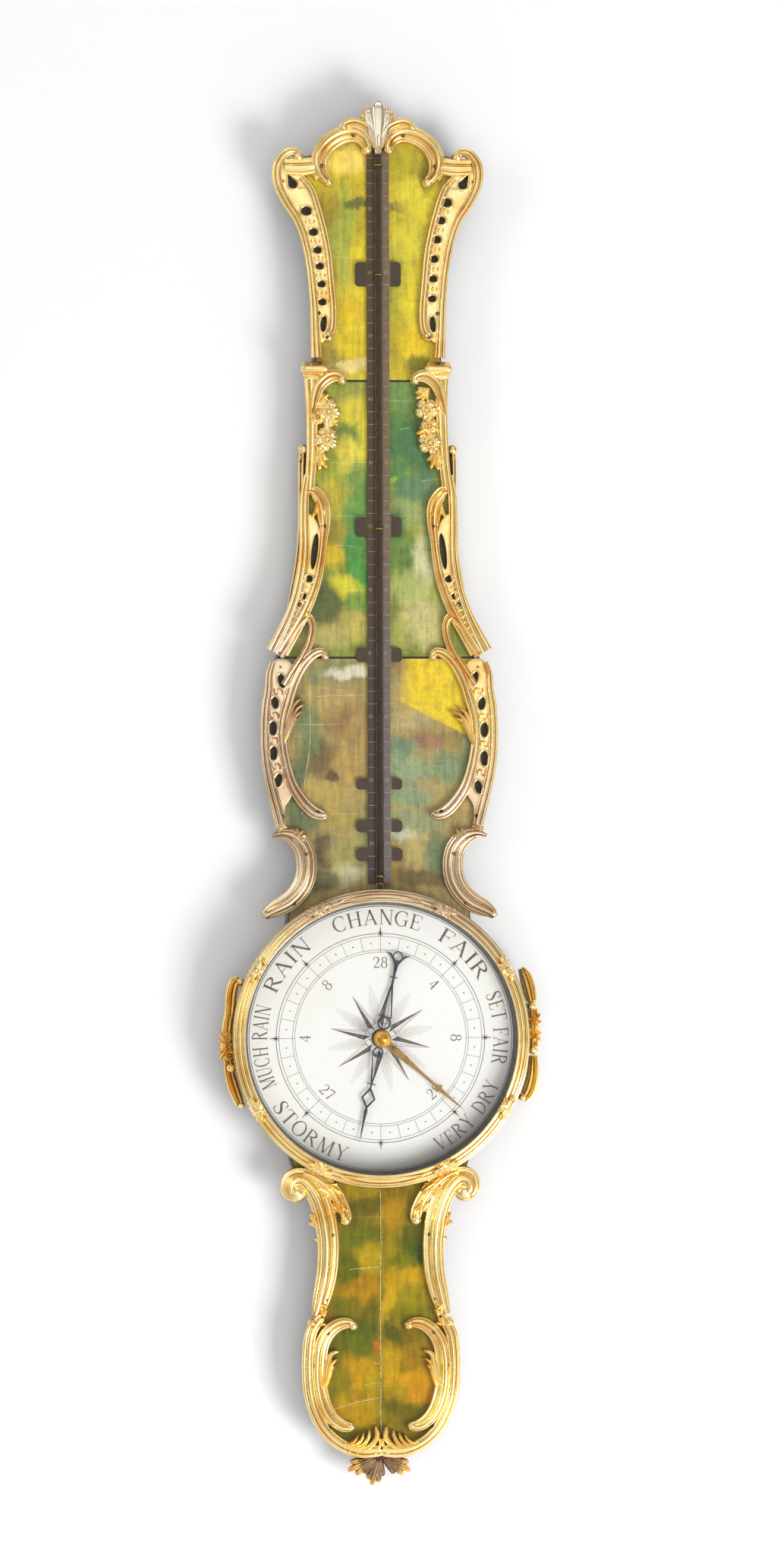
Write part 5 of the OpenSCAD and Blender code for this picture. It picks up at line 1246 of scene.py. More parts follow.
@dataclass
class BellyWork:
    """The pierced rails round the belly and the cups above the dial."""

    relief: float = 8.0
    outer: Route = ((85.5, 302, 4.5), (88.3, 293, 6), (89, 280, 7), (91, 266, 8), (91.8, 250, 8), (91.6, 232, 8),
                    (89.5, 214, 8.5), (85.7, 197, 9), (81.5, 181, 9.5), (79, 171, 9))
    inner: Route = ((41.5, 306, 4), (46, 310.5, 7), (54, 307.8, 8.5), (62, 299, 9), (68.5, 286, 9), (73, 272, 9),
                    (77.3, 256, 8.5), (78, 238, 8.5), (75.2, 220, 8.5), (70.5, 204, 9.5), (62.5, 191, 10.5),
                    (53.5, 182, 11), (46, 179.3, 9), (42.2, 181.5, 5))
    hook: Route = ((80.5, 307, 8), (72, 319.5, 7.5), (64.5, 332.5, 7.5), (57.8, 338.5, 7.5), (53.8, 331.5, 6.5),
                   (55.5, 319, 6.5), (61, 307, 7.5), (68, 296, 8.5), (76, 283, 8))
    plate: tuple[Point, ...] = ((70, 298), (84, 303), (89, 280), (92, 250), (90, 214), (82, 180), (79, 172), (76, 172),
                                (76, 186), (70, 200), (76, 222), (78, 240), (76, 262))
    holes: dict[str, tuple[tuple[float, ...], ...]] = field(default_factory=lambda: {
        "left": ((78.6, 287, 2.7, 5.6, -14), (84, 269.5, 2.7, 4.6, -8), (85.7, 249, 3, 5.6, 0), (85.3, 229, 3, 5.4, 2),
                 (81.5, 207.4, 2.8, 5.2, 10)),
        "right": ((77, 288.5, 2.6, 5.6, -14), (82.8, 268.5, 2.8, 5, -8), (84.8, 247.5, 3, 5.8, 0),
                  (84.6, 224.5, 3, 6, 3), (79.8, 201.5, 2.8, 5.2, 12)),
    })
    sprigs: dict[str, tuple[Route, ...]] = field(default_factory=lambda: {
        "left": (((77, 242, 3), (73, 256, 4), (69, 267, 3.6), (62.4, 273.4, 2.4)),
                 ((77, 241, 3), (71.4, 254, 3.6), (66.6, 264, 3), (59.6, 269, 2.2)),
                 ((77, 239, 3), (71, 250, 3.4), (67, 259, 2.8), (61.4, 264, 2)),
                 ((77.5, 236, 3), (72.4, 245.6, 3), (69, 253, 2.6), (64.4, 258.6, 1.8))),
        "right": (((76.5, 240, 3), (73, 252, 4), (69.4, 261, 3.4), (63, 265.6, 2.4)),
                  ((76.5, 239, 3), (71, 250.4, 3.8), (65.4, 259.4, 3.2), (56.8, 261.8, 2.4)),
                  ((76.5, 237, 3), (71, 246.8, 3.2), (66.6, 254.4, 2.8), (60.2, 257.4, 2)),
                  ((77, 234, 3), (72.4, 242, 3), (69.6, 248.6, 2.6), (65.4, 252.6, 1.8))),
    })
    cup: Route = ((86.5, 162.5, 2.5), (77.5, 164, 8.5), (68, 160.5, 14.5), (61, 151.5, 16.5), (58.8, 139, 17),
                  (60.5, 127, 17), (66, 117, 16.5), (74, 109.4, 16), (83.5, 104.5, 14), (89.5, 101, 10), (93, 97.4, 6))

    def build(self) -> None:
        """Makes both belly mounts and both cups."""
        for label, side in SIDES.items():
            cast = Casting(f"belly_mount_{label}", self.relief)
            cast.scroll(self.outer, 1.0, Section.RAIL, flip=True)
            cast.scroll(self.inner, 0.9, Section.RAIL)
            cast.scroll(self.hook, 0.95, Section.SCROLL)
            cast.ball(43.4, 306.6, 3.6, 0.8)
            cast.fan(58, 337, 100, 6, 90, 3, 3.6, 0.9)
            holes = self.holes[label]
            loops = [ring_loop(x, y, r + 0.3, length + 0.3, turn) for x, y, r, length, turn in holes]
            for loop in loops:
                cast.rim(grown(loop, 0.8), 1.7, 0.78)
            for (xa, ya, *_), (xb, yb, *_) in zip(holes, holes[1:]):
                x, y = (xa + xb) / 2, (ya + yb) / 2
                cast.bead(x, y + 1.6, 1.3, 0.86)
                cast.bead(x + 0.4, y - 1.6, 1.0, 0.8)
                for sign in (-1, 1):
                    cast.finger([(x + sign * 1.0, y - sign * 3.0, 1.6), (x + sign * 3.2, y - sign * 0.6, 2.2),
                                 (x + sign * 3.4, y + sign * 3.2, 1.4)], 0.8)
            for route in self.sprigs[label]:
                cast.finger(route, 0.84)
            cast.fan(80, 174, 262, 12, 60, 4, 4.0, 0.8)
            cast.mount(GILT, side, "pale_bronze", (self.plate, loops, 0.52))
            cup = Casting(f"cup_scroll_{label}", self.relief)
            cup.scroll(self.cup, 0.96, Section.BROAD, flip=True)
            cup.fan(70, 159.5, 150, 12.5, 96, 6, 4.2, 1.0, 0.4)
            cup.ball(92.0, 99.6, 3.4, 0.8)
            cup.mount(GILT, side, "pale_bronze")


@dataclass
class LowerWork:
    """The scrolls under the dial, the frame round the foot and the tail leaf."""

    relief: float = 9.0
    frame_relief: float = 8.0
    scroll: Route = ((66.5, -127.5, 9), (73.4, -122.5, 13), (71.6, -113.4, 15.5), (63, -111.8, 17),
                     (54.6, -119.5, 17.5), (48, -133, 17.5), (43.8, -150, 18), (42.2, -168, 17.5), (43.4, -188, 17),
                     (46.6, -204, 15.5), (49.8, -216, 12), (52.2, -222.5, 8))
    leaf: Route = ((62, -106.5, 7), (53, -109.5, 10), (44, -116, 11.5), (36.6, -124.5, 11.5), (31, -134.5, 11),
                   (28, -143, 9.5), (28.4, -148, 6))
    outer: Route = ((48.5, -224.5, 8), (56, -236, 9.8), (58.6, -253, 10), (58.6, -274, 10), (56, -292, 10),
                    (49.4, -308.5, 10), (40.5, -320, 10), (29, -328, 10), (16, -332, 10.5), (3, -331.6, 10),
                    (0.1, -331, 8))
    inner: Route = ((21.5, -230.6, 5), (26.5, -228.8, 8.5), (35, -230.4, 11), (43, -237, 12), (48, -247.5, 12.5),
                    (49.8, -262, 12.5), (49.3, -278, 12.5), (46, -293, 12), (40, -304.3, 11.5), (31.5, -311, 10.5),
                    (24, -312.4, 7.5))
    sprigs: tuple[Route, ...] = (((46, -279, 3.4), (43.4, -264, 5.4), (40.4, -254, 4.6), (33.8, -251.4, 3)),
                                 ((45, -280, 3), (41.6, -269, 3.6), (39, -260.6, 3), (34.6, -257.4, 2)),
                                 ((45, -281, 3), (42, -273, 3.2), (39.8, -266, 2.6), (36.4, -262.6, 1.8)))
    fingers: tuple[Route, ...] = (((33, -326, 3), (25.4, -325.6, 3.4), (20.8, -322.4, 2.8), (18.6, -318.4, 2)),
                                  ((30, -328.6, 3), (20.6, -326.6, 3.6), (15.6, -321.6, 3.2), (14.4, -316.8, 2.2)),
                                  ((26, -330.5, 3.4), (15.6, -327.6, 4.2), (10.4, -320.6, 3.8), (9.8, -314.6, 2.6)),
                                  ((20, -332, 4), (10, -328.6, 5), (3.6, -320.6, 5), (4.6, -311.6, 3.4)),
                                  ((6, -334, 4), (1.6, -328, 3.4), (0.9, -321, 2.6)))
    tail_fingers: tuple[tuple[float, ...], ...] = (
        (-3, -337, 206, 26, 50, 5, 6.2), (-1, -338, 254, 23, 46, 5, 6.2), (2, -337, 332, 25, 50, 5, 6.2))

    def build(self) -> None:
        """Makes the lower scrolls, the frame and the tail leaf."""
        for label, side in SIDES.items():
            cast = Casting(f"lower_scroll_{label}", self.relief)
            cast.scroll(self.scroll, 0.92, Section.BROAD)
            cast.ball(67.6, -124.6, 7.4, 0.94)
            cast.scroll(self.leaf, 0.82, Section.SCROLL)
            cast.ball(28.5, -146.4, 4.6, 0.84)
            for fan in ((48, -120, 196, 15, 60, 4, 4.6, 0.92), (38, -133, 230, 12, 50, 3, 4.2, 0.88),
                        (50.5, -152, 62, 13, 50, 3, 4.0, 0.66), (47, -166, 70, 13, 40, 2, 3.8, 0.6),
                        (50.6, -213, 238, 11.5, 70, 4, 3.6, 1.0, 0.4)):
                cast.fan(*fan)
            cast.ball(46.2, -221.4, 3.0, 0.9)
            cast.fan(33, -131, 262, 15, 44, 3, 4.0, 0.96, 0.3)
            cast.fan(43, -116.5, 214, 13, 46, 3, 4.0, 0.98, 0.3)
            cast.mount(GILT, side)
            rim = Casting(f"lower_frame_{label}", self.frame_relief)
            rim.scroll(self.outer, 1.0, Section.RAIL, flip=True)
            rim.scroll(self.inner, 0.92, Section.SCROLL)
            rim.ball(22.4, -231.0, 4.2, 0.84)
            rim.ball(55.6, -228.6, 4.0, 1.0)
            rim.fan(50, -231, 120, 9, 70, 3, 3.2, 0.9)
            rim.ball(24.6, -312.2, 4.0, 0.8)
            for routes, height in ((self.sprigs, 0.9), (self.fingers, 1.0)):
                for route in routes:
                    rim.finger(route, height)
            rim.mount(GILT, side)
        tail = Casting("tail_leaf", 7.0, 25.0)
        for x, y, turn, reach, spread, count, width in self.tail_fingers:
            tail.fan(x, y, turn, reach, spread, int(count), width, 1.0, 0.12)
        tail.mount(TAIL_BRONZE, slot="brown_bronze")


# --------------------------------------------------------------- dial


@dataclass
class Lettering:
    """Engraved serif letters and figures, drawn as strokes of varying width.

    Each letter has an advance and its strokes, each stroke a row of x, y and width
    as shares of the letter height. A stroke of four or more stops is curved.
    """

    thick: float = 0.125
    thin: float = 0.05

    def _stem(self, x: float, low: float = 0.0, high: float = 1.0, width: float | None = None) -> list:
        """An upright stroke with a serif at each end of the letter."""
        w = self.thick if width is None else width
        out = [((x, low, w), (x, high, w))]
        for y in (low, high):
            if y in (0.0, 1.0):
                flat = y + (0.02 if y == 0.0 else -0.02)
                out.append(self._bar(x - w / 2 - 0.08, x + w / 2 + 0.08, flat))
        return out

    def _arc(self, x: float, y: float, rx: float, ry: float, start: float, end: float,
             heavy: float | None = None) -> list:
        """A curved stroke, thick at its sides and thin at top and bottom."""
        w = self.thick if heavy is None else heavy
        stops = []
        for k in range(13):
            a = math.radians(start + (end - start) * k / 12)
            stops.append((x + rx * math.cos(a), y + ry * math.sin(a),
                          self.thin + (w - self.thin) * abs(math.cos(a)) ** 1.5))
        return [tuple(stops)]

    @staticmethod
    def _bar(start: float, end: float, y: float, width: float = 0.04) -> tuple[Stop, Stop]:
        """A level stroke."""
        return ((start, y, width), (end, y, width))

    def _serif(self, x: float, y: float, span: float = 0.12) -> list:
        """A short flat serif."""
        return [self._bar(x - span, x + span, y)]

    def strokes(self, letter: str) -> tuple[float, list]:
        """The advance and the strokes of one letter."""
        t, n = self.thick, self.thin
        stem, arc, serif, bar = self._stem, self._arc, self._serif, self._bar
        table: dict[str, tuple[float, list]] = {
            "A": (0.92, [((0.10, 0, n), (0.45, 1, n)), ((0.43, 1, t), (0.80, 0, t)), bar(0.22, 0.66, 0.34)]
                  + serif(0.10, 0.02) + serif(0.80, 0.02, 0.15)),
            "C": (0.86, arc(0.46, 0.5, 0.40, 0.5, 52, 308) + [((0.72, 0.96, 0.05), (0.75, 0.66, 0.03)),
                                                                    ((0.72, 0.08, 0.05), (0.74, 0.28, 0.03))]),
            "D": (0.90, stem(0.18) + arc(0.20, 0.5, 0.60, 0.49, -90, 90)),
            "E": (0.74, stem(0.18) + [bar(0.12, 0.64, 0.98), ((0.64, 0.99, 0.05), (0.66, 0.76, 0.03)),
                                            bar(0.18, 0.50, 0.52), ((0.50, 0.62, 0.04), (0.50, 0.42, 0.04)),
                                            bar(0.12, 0.66, 0.02), ((0.66, 0.01, 0.05), (0.69, 0.27, 0.03))]),
            "F": (0.70, stem(0.18) + [bar(0.12, 0.64, 0.98), ((0.64, 0.99, 0.05), (0.66, 0.74, 0.03)),
                                            bar(0.18, 0.48, 0.50), ((0.48, 0.60, 0.04), (0.48, 0.40, 0.04))]),
            "G": (0.92, arc(0.46, 0.5, 0.40, 0.5, 52, 300) + [((0.72, 0.96, 0.05), (0.75, 0.66, 0.03)),
                                                                    ((0.74, 0.03, t * 0.9), (0.74, 0.42, t * 0.9))]
                  + serif(0.74, 0.42, 0.16)),
            "H": (0.96, stem(0.18) + stem(0.76) + [bar(0.18, 0.76, 0.51)]),
            "I": (0.38, stem(0.19)),
            "M": (1.10, stem(0.16, width=n) + stem(0.92) + [((0.17, 1, t), (0.53, 0.02, t)),
                                                                        ((0.53, 0.02, n), (0.90, 1, n))]),
            "N": (0.94, stem(0.16, width=n) + stem(0.78, width=n) + [((0.17, 1, t), (0.77, 0, t))]),
            "O": (0.92, arc(0.46, 0.5, 0.40, 0.5, 0, 360)),
            "R": (0.90, stem(0.18) + arc(0.20, 0.75, 0.46, 0.24, -90, 90) + [((0.42, 0.51, t), (0.78, 0.02, t))]
                  + serif(0.82, 0.02, 0.09)),
            "S": (0.68, [((0.56, 0.76, 0.04), (0.50, 0.93, 0.05), (0.33, 0.99, 0.05), (0.14, 0.88, 0.10),
                          (0.14, 0.68, 0.14), (0.32, 0.53, 0.17), (0.50, 0.38, 0.16), (0.56, 0.20, 0.12),
                          (0.42, 0.03, 0.06), (0.24, 0.01, 0.05), (0.10, 0.10, 0.05), (0.08, 0.28, 0.04)),
                         ((0.56, 0.98, 0.04), (0.57, 0.70, 0.03)), ((0.08, 0.02, 0.04), (0.07, 0.32, 0.03))]),
            "T": (0.84, stem(0.42) + [bar(0.06, 0.78, 0.98), ((0.06, 0.99, 0.05), (0.03, 0.72, 0.03)),
                                            ((0.78, 0.99, 0.05), (0.81, 0.72, 0.03))]),
            "U": (0.92, [((0.19, 1, t), (0.19, 0.45, t), (0.22, 0.18, 0.14), (0.44, 0, n), (0.68, 0.16, n),
                          (0.73, 0.45, n), (0.73, 1, n))] + serif(0.19, 0.98, 0.15) + serif(0.73, 0.98)),
            "V": (0.90, [((0.12, 1, t), (0.45, 0, t)), ((0.45, 0, n), (0.78, 1, n))] + serif(0.12, 0.98, 0.15)
                  + serif(0.78, 0.98)),
            "Y": (0.88, [((0.12, 1, t), (0.43, 0.48, t)), ((0.43, 0.48, n), (0.76, 1, n)),
                         ((0.44, 0.5, t), (0.44, 0, t))]
                  + serif(0.12, 0.98, 0.15) + serif(0.76, 0.98) + serif(0.44, 0.02, 0.15)),
            "0": (0.62, arc(0.31, 0.5, 0.25, 0.5, 0, 360, 0.12)),
            "1": (0.46, stem(0.24, width=0.12) + [((0.24, 0.98, 0.05), (0.08, 0.84, 0.03))]),
            "2": (0.64, [((0.08, 0.74, 0.06), (0.14, 0.93, 0.06), (0.32, 1, 0.06), (0.50, 0.88, 0.11),
                          (0.51, 0.70, 0.13), (0.40, 0.48, 0.09), (0.22, 0.26, 0.06), (0.06, 0.04, 0.05)),
                         bar(0.06, 0.54, 0.05, 0.10), ((0.54, 0.04, 0.05), (0.60, 0.24, 0.03))]),
            "3": (0.62, [((0.08, 0.84, 0.05), (0.28, 1, 0.06), (0.50, 0.84, 0.11), (0.44, 0.62, 0.07),
                          (0.26, 0.54, 0.05)),
                         ((0.26, 0.54, 0.05), (0.46, 0.46, 0.08), (0.54, 0.24, 0.12), (0.30, 0, 0.06),
                          (0.06, 0.14, 0.06))]),
            "4": (0.68, [((0.46, 1, n), (0.04, 0.30, n)), bar(0.04, 0.64, 0.30, 0.05),
                         ((0.46, 1, 0.12), (0.46, 0, 0.12))] + serif(0.46, 0.02, 0.14)),
            "5": (0.60, [bar(0.14, 0.50, 0.97, 0.08), ((0.14, 0.98, 0.05), (0.10, 0.56, 0.05)),
                         ((0.10, 0.56, 0.05), (0.32, 0.62, 0.06), (0.52, 0.44, 0.11), (0.50, 0.16, 0.10),
                          (0.28, 0, 0.06), (0.06, 0.12, 0.06))]),
            "6": (0.62, [((0.50, 0.92, 0.05), (0.30, 0.90, 0.06), (0.10, 0.60, 0.10), (0.08, 0.28, 0.12))]
                  + arc(0.31, 0.29, 0.23, 0.29, 0, 360, 0.11)),
            "7": (0.62, [bar(0.06, 0.56, 0.95, 0.10), ((0.56, 0.97, 0.05), (0.28, 0, 0.13)),
                         ((0.06, 0.97, 0.05), (0.04, 0.76, 0.03))]),
            "8": (0.64, arc(0.32, 0.76, 0.20, 0.23, 0, 360, 0.10) + arc(0.32, 0.27, 0.26, 0.27, 0, 360, 0.12)),
            "9": (0.62, arc(0.31, 0.71, 0.23, 0.28, 0, 360, 0.11)
                  + [((0.54, 0.72, 0.12), (0.52, 0.40, 0.10), (0.34, 0.06, 0.06), (0.12, 0.03, 0.05))]),
        }
        return table.get(letter, (0.45, []))

    def write(self, shapes: Shapes, text: str, height: float, to_dial: Callable[[float, float], Point],
              depth: float, gap: float = 0.08) -> None:
        """Writes a word.

        Args:
            shapes: the piece that takes the strokes.
            text: the word.
            height: height of its letters.
            to_dial: where a place along and above the line of writing falls.
            depth: distance of the writing from the wall.
            gap: space after each letter as a share of the height.
        """
        x = 0.0
        for letter in text:
            advance, strokes = self.strokes(letter)
            for stops in strokes:
                path = smooth_path(stops, 0.06) if len(stops) > 3 else np.array(stops, float)
                side = left_of(path)
                rows = []
                for (px, py, w), (sx, sy) in zip(path, side):
                    pair = []
                    for sign in (-0.5, 0.5):
                        qx, qy = to_dial((x + px + sx * w * sign) * height, (py + sy * w * sign) * height)
                        pair.append((qx, qy, depth))
                    rows.append(pair)
                shapes.grid(np.array(rows, float))
            x += advance + gap

    def length(self, text: str, gap: float = 0.08) -> float:
        """Length of a word as a share of its letter height."""
        return sum(self.strokes(letter)[0] + gap for letter in text) - gap


@dataclass(frozen=True)
class Word:
    """A word on the dial and the clockwise angles between which it stands."""

    text: str
    start: float
    end: float


@dataclass
class DialMarks:
    """Engraved rings, figures, words and compass star of the dial."""

    depth: float = 39.04
    rings: tuple[tuple[float, float], ...] = ((69, 0.35), (70.8, 0.35), (81.7, 0.35), (84, 0.55), (105.9, 0.6))
    words: tuple[Word, ...] = (
        Word("CHANGE", -23, 20), Word("FAIR", 30, 60), Word("SET FAIR", 68, 103), Word("VERY DRY", 111, 153),
        Word("STORMY", 196, 238), Word("MUCH RAIN", 246, 286), Word("RAIN", 293, 323),
    )
    figures: tuple[tuple[str, float], ...] = (
        ("28", 0), ("4", 45), ("8", 90), ("29", 135), ("27", 225), ("4", 270), ("8", 315))
    letter_h: float = 12.0
    figure_h: float = 8.7
    lettering: Lettering = field(default_factory=Lettering)

    @staticmethod
    def at(r: float, clock: float) -> Point:
        """Place at a radius and a clockwise angle from the top."""
        a = math.radians(clock)
        return (r * math.sin(a), r * math.cos(a))

    def ring(self, shapes: Shapes, r: float, width: float, centre: Point = (0, 0)) -> None:
        """Adds a flat ring."""
        count = 180 if r > 20 else 40
        a = np.linspace(0, 2 * math.pi, count + 1)[:, None]
        radii = np.array([[r + width / 2, r - width / 2]])
        net = np.stack([centre[0] + radii * np.cos(a), centre[1] + radii * np.sin(a),
                        np.full((count + 1, 2), self.depth)], axis=2)
        shapes.grid(net)

    def stroke(self, shapes: Shapes, start: Point, end: Point, w0: float, w1: float) -> None:
        """Adds a flat straight stroke that tapers between two widths."""
        a, b = np.array(start), np.array(end)
        d = (b - a) / (np.linalg.norm(b - a) + 1e-9)
        n = np.array([-d[1], d[0]])
        net = [[(*(a - n * w0 / 2), self.depth), (*(a + n * w0 / 2), self.depth)],
               [(*(b - n * w1 / 2), self.depth), (*(b + n * w1 / 2), self.depth)]]
        shapes.grid(np.array(net, float))

    def write_round(self, shapes: Shapes, text: str, middle: float, height: float, r: float, inward: bool,
                    span: float | None = None) -> None:
        """Writes a word round the dial.

        Args:
            shapes: the piece that takes the strokes.
            text: the word.
            middle: clockwise angle of its middle.
            height: height of its letters.
            r: radius of the foot of letters that stand outwards, or of their head.
            inward: the letters stand with their heads to the centre.
            span: angle that the word fills.
        """
        length = self.lettering.length(text) * height
        wide = 1.0 if span is None else math.radians(span) * (r + height / 2) / length

        def to_dial(x: float, y: float) -> Point:
            along = math.degrees((x - length / 2) * wide / (r + height / 2))
            if inward:
                return self.at(r + height - y, middle - along)
            return self.at(r + y, middle + along)

        self.lettering.write(shapes, text, height, to_dial, self.depth)

    def star(self, dark: Shapes, fine: Shapes) -> None:
        """Adds the compass star: eight shaded rays and eight bundles of fine lines."""
        for k in range(8):
            clock = 11 + 45 * k
            tip, root = self.at(41, clock), self.at(8.5, clock)
            for sign, target in ((-1, dark), (1, fine)):
                flank = self.at(13.5, clock + sign * 16.5)
                net = [[(*tip, self.depth), (*tip, self.depth)], [(*flank, self.depth), (*root, self.depth)]]
                if target is dark:
                    target.grid(np.array(net, float))
                else:
                    self.stroke(dark, flank, tip, 0.3, 0.15)
                    for share in (0.3, 0.6):
                        mid = tuple(np.array(flank) * (1 - share) + np.array(root) * share)
                        self.stroke(fine, mid, tip, 0.25, 0.1)
            clock = 33.5 + 45 * k
            for step, reach in ((-9, 27), (-6, 33), (-3.4, 38), (-1.2, 43), (1.2, 43), (3.4, 38), (6, 33), (9, 27)):
                self.stroke(fine, self.at(12.5, clock + step * 1.3), self.at(reach, clock + step), 0.26, 0.16)
        for k in range(6):
            self.ring(dark, 2.6, 0.35, self.at(9.6, 60 * k + 8))
        self.ring(dark, 12.6, 0.3)

    def build(self) -> None:
        """Makes the marks as two thin layers on the dial."""
        dark, fine = Shapes(), Shapes()
        for r, width in self.rings:
            self.ring(dark, r, width)
        for k in range(32):
            clock = 11.25 * k
            if k % 4 == 0:
                self.stroke(dark, self.at(69, clock), self.at(88.5, clock), 0.35, 0.3)
                for turn in range(0, 180, 45):
                    out, along = 2.6 * math.cos(math.radians(turn)), 1.8 * math.sin(math.radians(turn))
                    self.stroke(dark, self.at(84 - out, clock - along), self.at(84 + out, clock + along), 0.5, 0.5)
                self.stroke(dark, self.at(84, clock), self.at(90, clock), 1.5, 0.15)
            else:
                self.stroke(fine, self.at(70.8, clock), self.at(81.7, clock), 0.35, 0.35)
            self.ring(dark, 0.35, 0.5, self.at(76.2, clock + 5.6))
        for word in self.words:
            middle = (word.start + word.end) / 2
            self.write_round(dark, word.text, middle, self.letter_h, 91.3, 105 < middle < 255, word.end - word.start)
        for text, clock in self.figures:
            self.write_round(dark, text, clock, self.figure_h, 56.5, 105 < clock < 255)
        self.star(dark, fine)
        lay_marks(dark, "dial_engraving", INK, "dial_white")
        lay_marks(fine, "dial_fine_lines", FINE_INK, "dial_white")


def lay_marks(shapes: Shapes, name: str, finish: Finish, slot: str) -> None:
    """Makes flat marks on the case, their faces turned to the front."""
    obj = shapes.build(name, finish, closed=False)
    bm = bmesh.new()
    bm.from_mesh(obj.data)
    bm.normal_update()
    bmesh.ops.reverse_faces(bm, faces=[f for f in bm.faces if f.normal.y > 0])
    bm.to_mesh(obj.data)
    bm.free()
    stand_for(obj, "case", slot)


@dataclass
class Bezel:
    """The reeded ring round the dial with its eight clasping leaves."""

    outer_r: float = 119.5
    opening_r: float = 109.4
    front: float = 46.0
    angles: tuple[float, ...] = (-64, -29, 29, 64, 116, 151, 209, 244)

    def section(self) -> list[tuple[float, float, float]]:
        """The moulding from the skirt to the opening: radius, depth and bulge of the arc that follows."""
        r, o, f = self.outer_r, self.opening_r, self.front
        return [
            (r - 0.8, f - 8, 0), (r - 0.8, f - 1.5, 0), (r - 0.1, f, 0.25), (r - 0.1, f + 3.4, 0),
            (r - 0.9, f + 3.7, 0), (r - 0.9, f + 4.2, 0.55), (r - 3.3, f + 6.6, 0), (r - 3.5, f + 6.0, 0),
            (r - 4.0, f + 6.4, 0.45), (r - 6.2, f + 7.6, 0), (r - 6.5, f + 6.9, 0), (r - 6.8, f + 7.2, 0.5),
            (o + 0.6, f + 8.9, 0), (o + 0.1, f + 8.3, 0), (o + 0.1, f + 4.0, 0), (o + 3.4, f + 4.0, 0),
            (o + 3.4, f + 0.05, 0), (r - 3.3, f + 0.05, 0), (r - 3.3, f - 8, 0),
        ]

    def dense(self) -> list[tuple[float, float]]:
        """The moulding with its arcs laid out as points."""
        stops = self.section()
        out: list[tuple[float, float]] = []
        for (r0, z0, bulge), (r1, z1, _) in zip(stops, stops[1:] + stops[:1]):
            count = 5 if bulge else 1
            length = math.hypot(r1 - r0, z1 - z0)
            nr, nz = (z1 - z0) / (length + 1e-9), -(r1 - r0) / (length + 1e-9)
            for k in range(count):
                t = k / count
                swell = bulge * 4 * t * (1 - t)
                out.append((r0 + (r1 - r0) * t + nr * swell, z0 + (z1 - z0) * t + nz * swell))
        return out

    def wrap(self, flat: Shapes, angle: float, shapes: Shapes) -> None:
        """Bends flat work round the ring and lays it on the moulding.

        Args:
            flat: work with x along the ring, y outwards from the opening and z above the moulding.
            angle: where its middle comes, in degrees.
            shapes: the piece that takes it.
        """
        points = np.concatenate(flat.verts)
        r = np.clip(self.opening_r + points[:, 1], self.opening_r, self.outer_r + 0.6)
        f, o, e = self.front, self.opening_r, self.outer_r
        ground = np.interp(r, [o, o + 0.8, o + 3.6, e - 4, e - 1.2, e - 0.2, e + 0.6],
                           [f + 8.2, f + 8.8, f + 7.9, f + 6.8, f + 4.6, f + 2.4, f - 0.5])
        a = math.radians(angle) + points[:, 0] / (self.outer_r - 5)
        bent = np.stack([r * np.cos(a), r * np.sin(a), np.minimum(ground + points[:, 2], f + 11.6)], axis=1)
        shapes.add(bent, flat.faces)

    def leaf(self, shapes: Shapes, angle: float) -> None:
        """Adds one clasping leaf: two sprays of fingers, back to back, with a rolled middle."""
        work = Casting("leaf", 4.0, -1.0)
        for turn in (0, 180):
            work.fan(0, 5.0, turn, 11.5, 96, 5, 2.6, 1.0, 0.5)
            way = math.cos(math.radians(turn))
            work.finger([(0, 5.0, 3), (way * 6, 5.4, 3.4), (way * 11, 6.8, 2)], 1.25)
        work.finger([(-1.5, 0.4, 3), (0.6, 5.0, 4.4), (-0.8, 10.6, 3)], 1.3)
        self.wrap(work.shapes, angle, shapes)

    def panel(self, shapes: Shapes, angle: float, half: float) -> None:
        """Adds a long raised line that closes on itself between two leaves."""
        work = Casting("line", 2.4, -0.5)
        loop = [(half * math.cos(t), 5.2 + 2.5 * math.sin(t) * (1 - 0.25 * math.cos(t) ** 2)) for t in
                np.linspace(0, 2 * math.pi, 28, endpoint=False)]
        work.rim(loop, 1.3, 1.0)
        self.wrap(work.shapes, angle, shapes)

    def sight_ring(self) -> None:
        """Adds the dark bevel between the glass and the dial; its dark tone is partly painted shadow of the bezel."""
        a = np.linspace(0, 2 * math.pi, 241)[:, None]
        rows = []
        for r, z in ((self.opening_r - 0.2, 47.8), (self.opening_r - 2.5, 39.25), (self.opening_r - 2.1, 39.2),
                     (self.opening_r + 0.2, 47.6), (self.opening_r + 0.2, 47.8)):
            rows.append(np.stack([r * np.cos(a[:, 0]), r * np.sin(a[:, 0]), np.full(241, z)], axis=1))
        shapes = Shapes()
        net = np.stack(rows, axis=1)
        net[-1] = net[0]
        shapes.grid(net, wrap=True)
        obj = shapes.build("sight_ring", DARK_SILVER)
        weld(obj, 0.00001)
        stand_for(obj, "case", "brass")

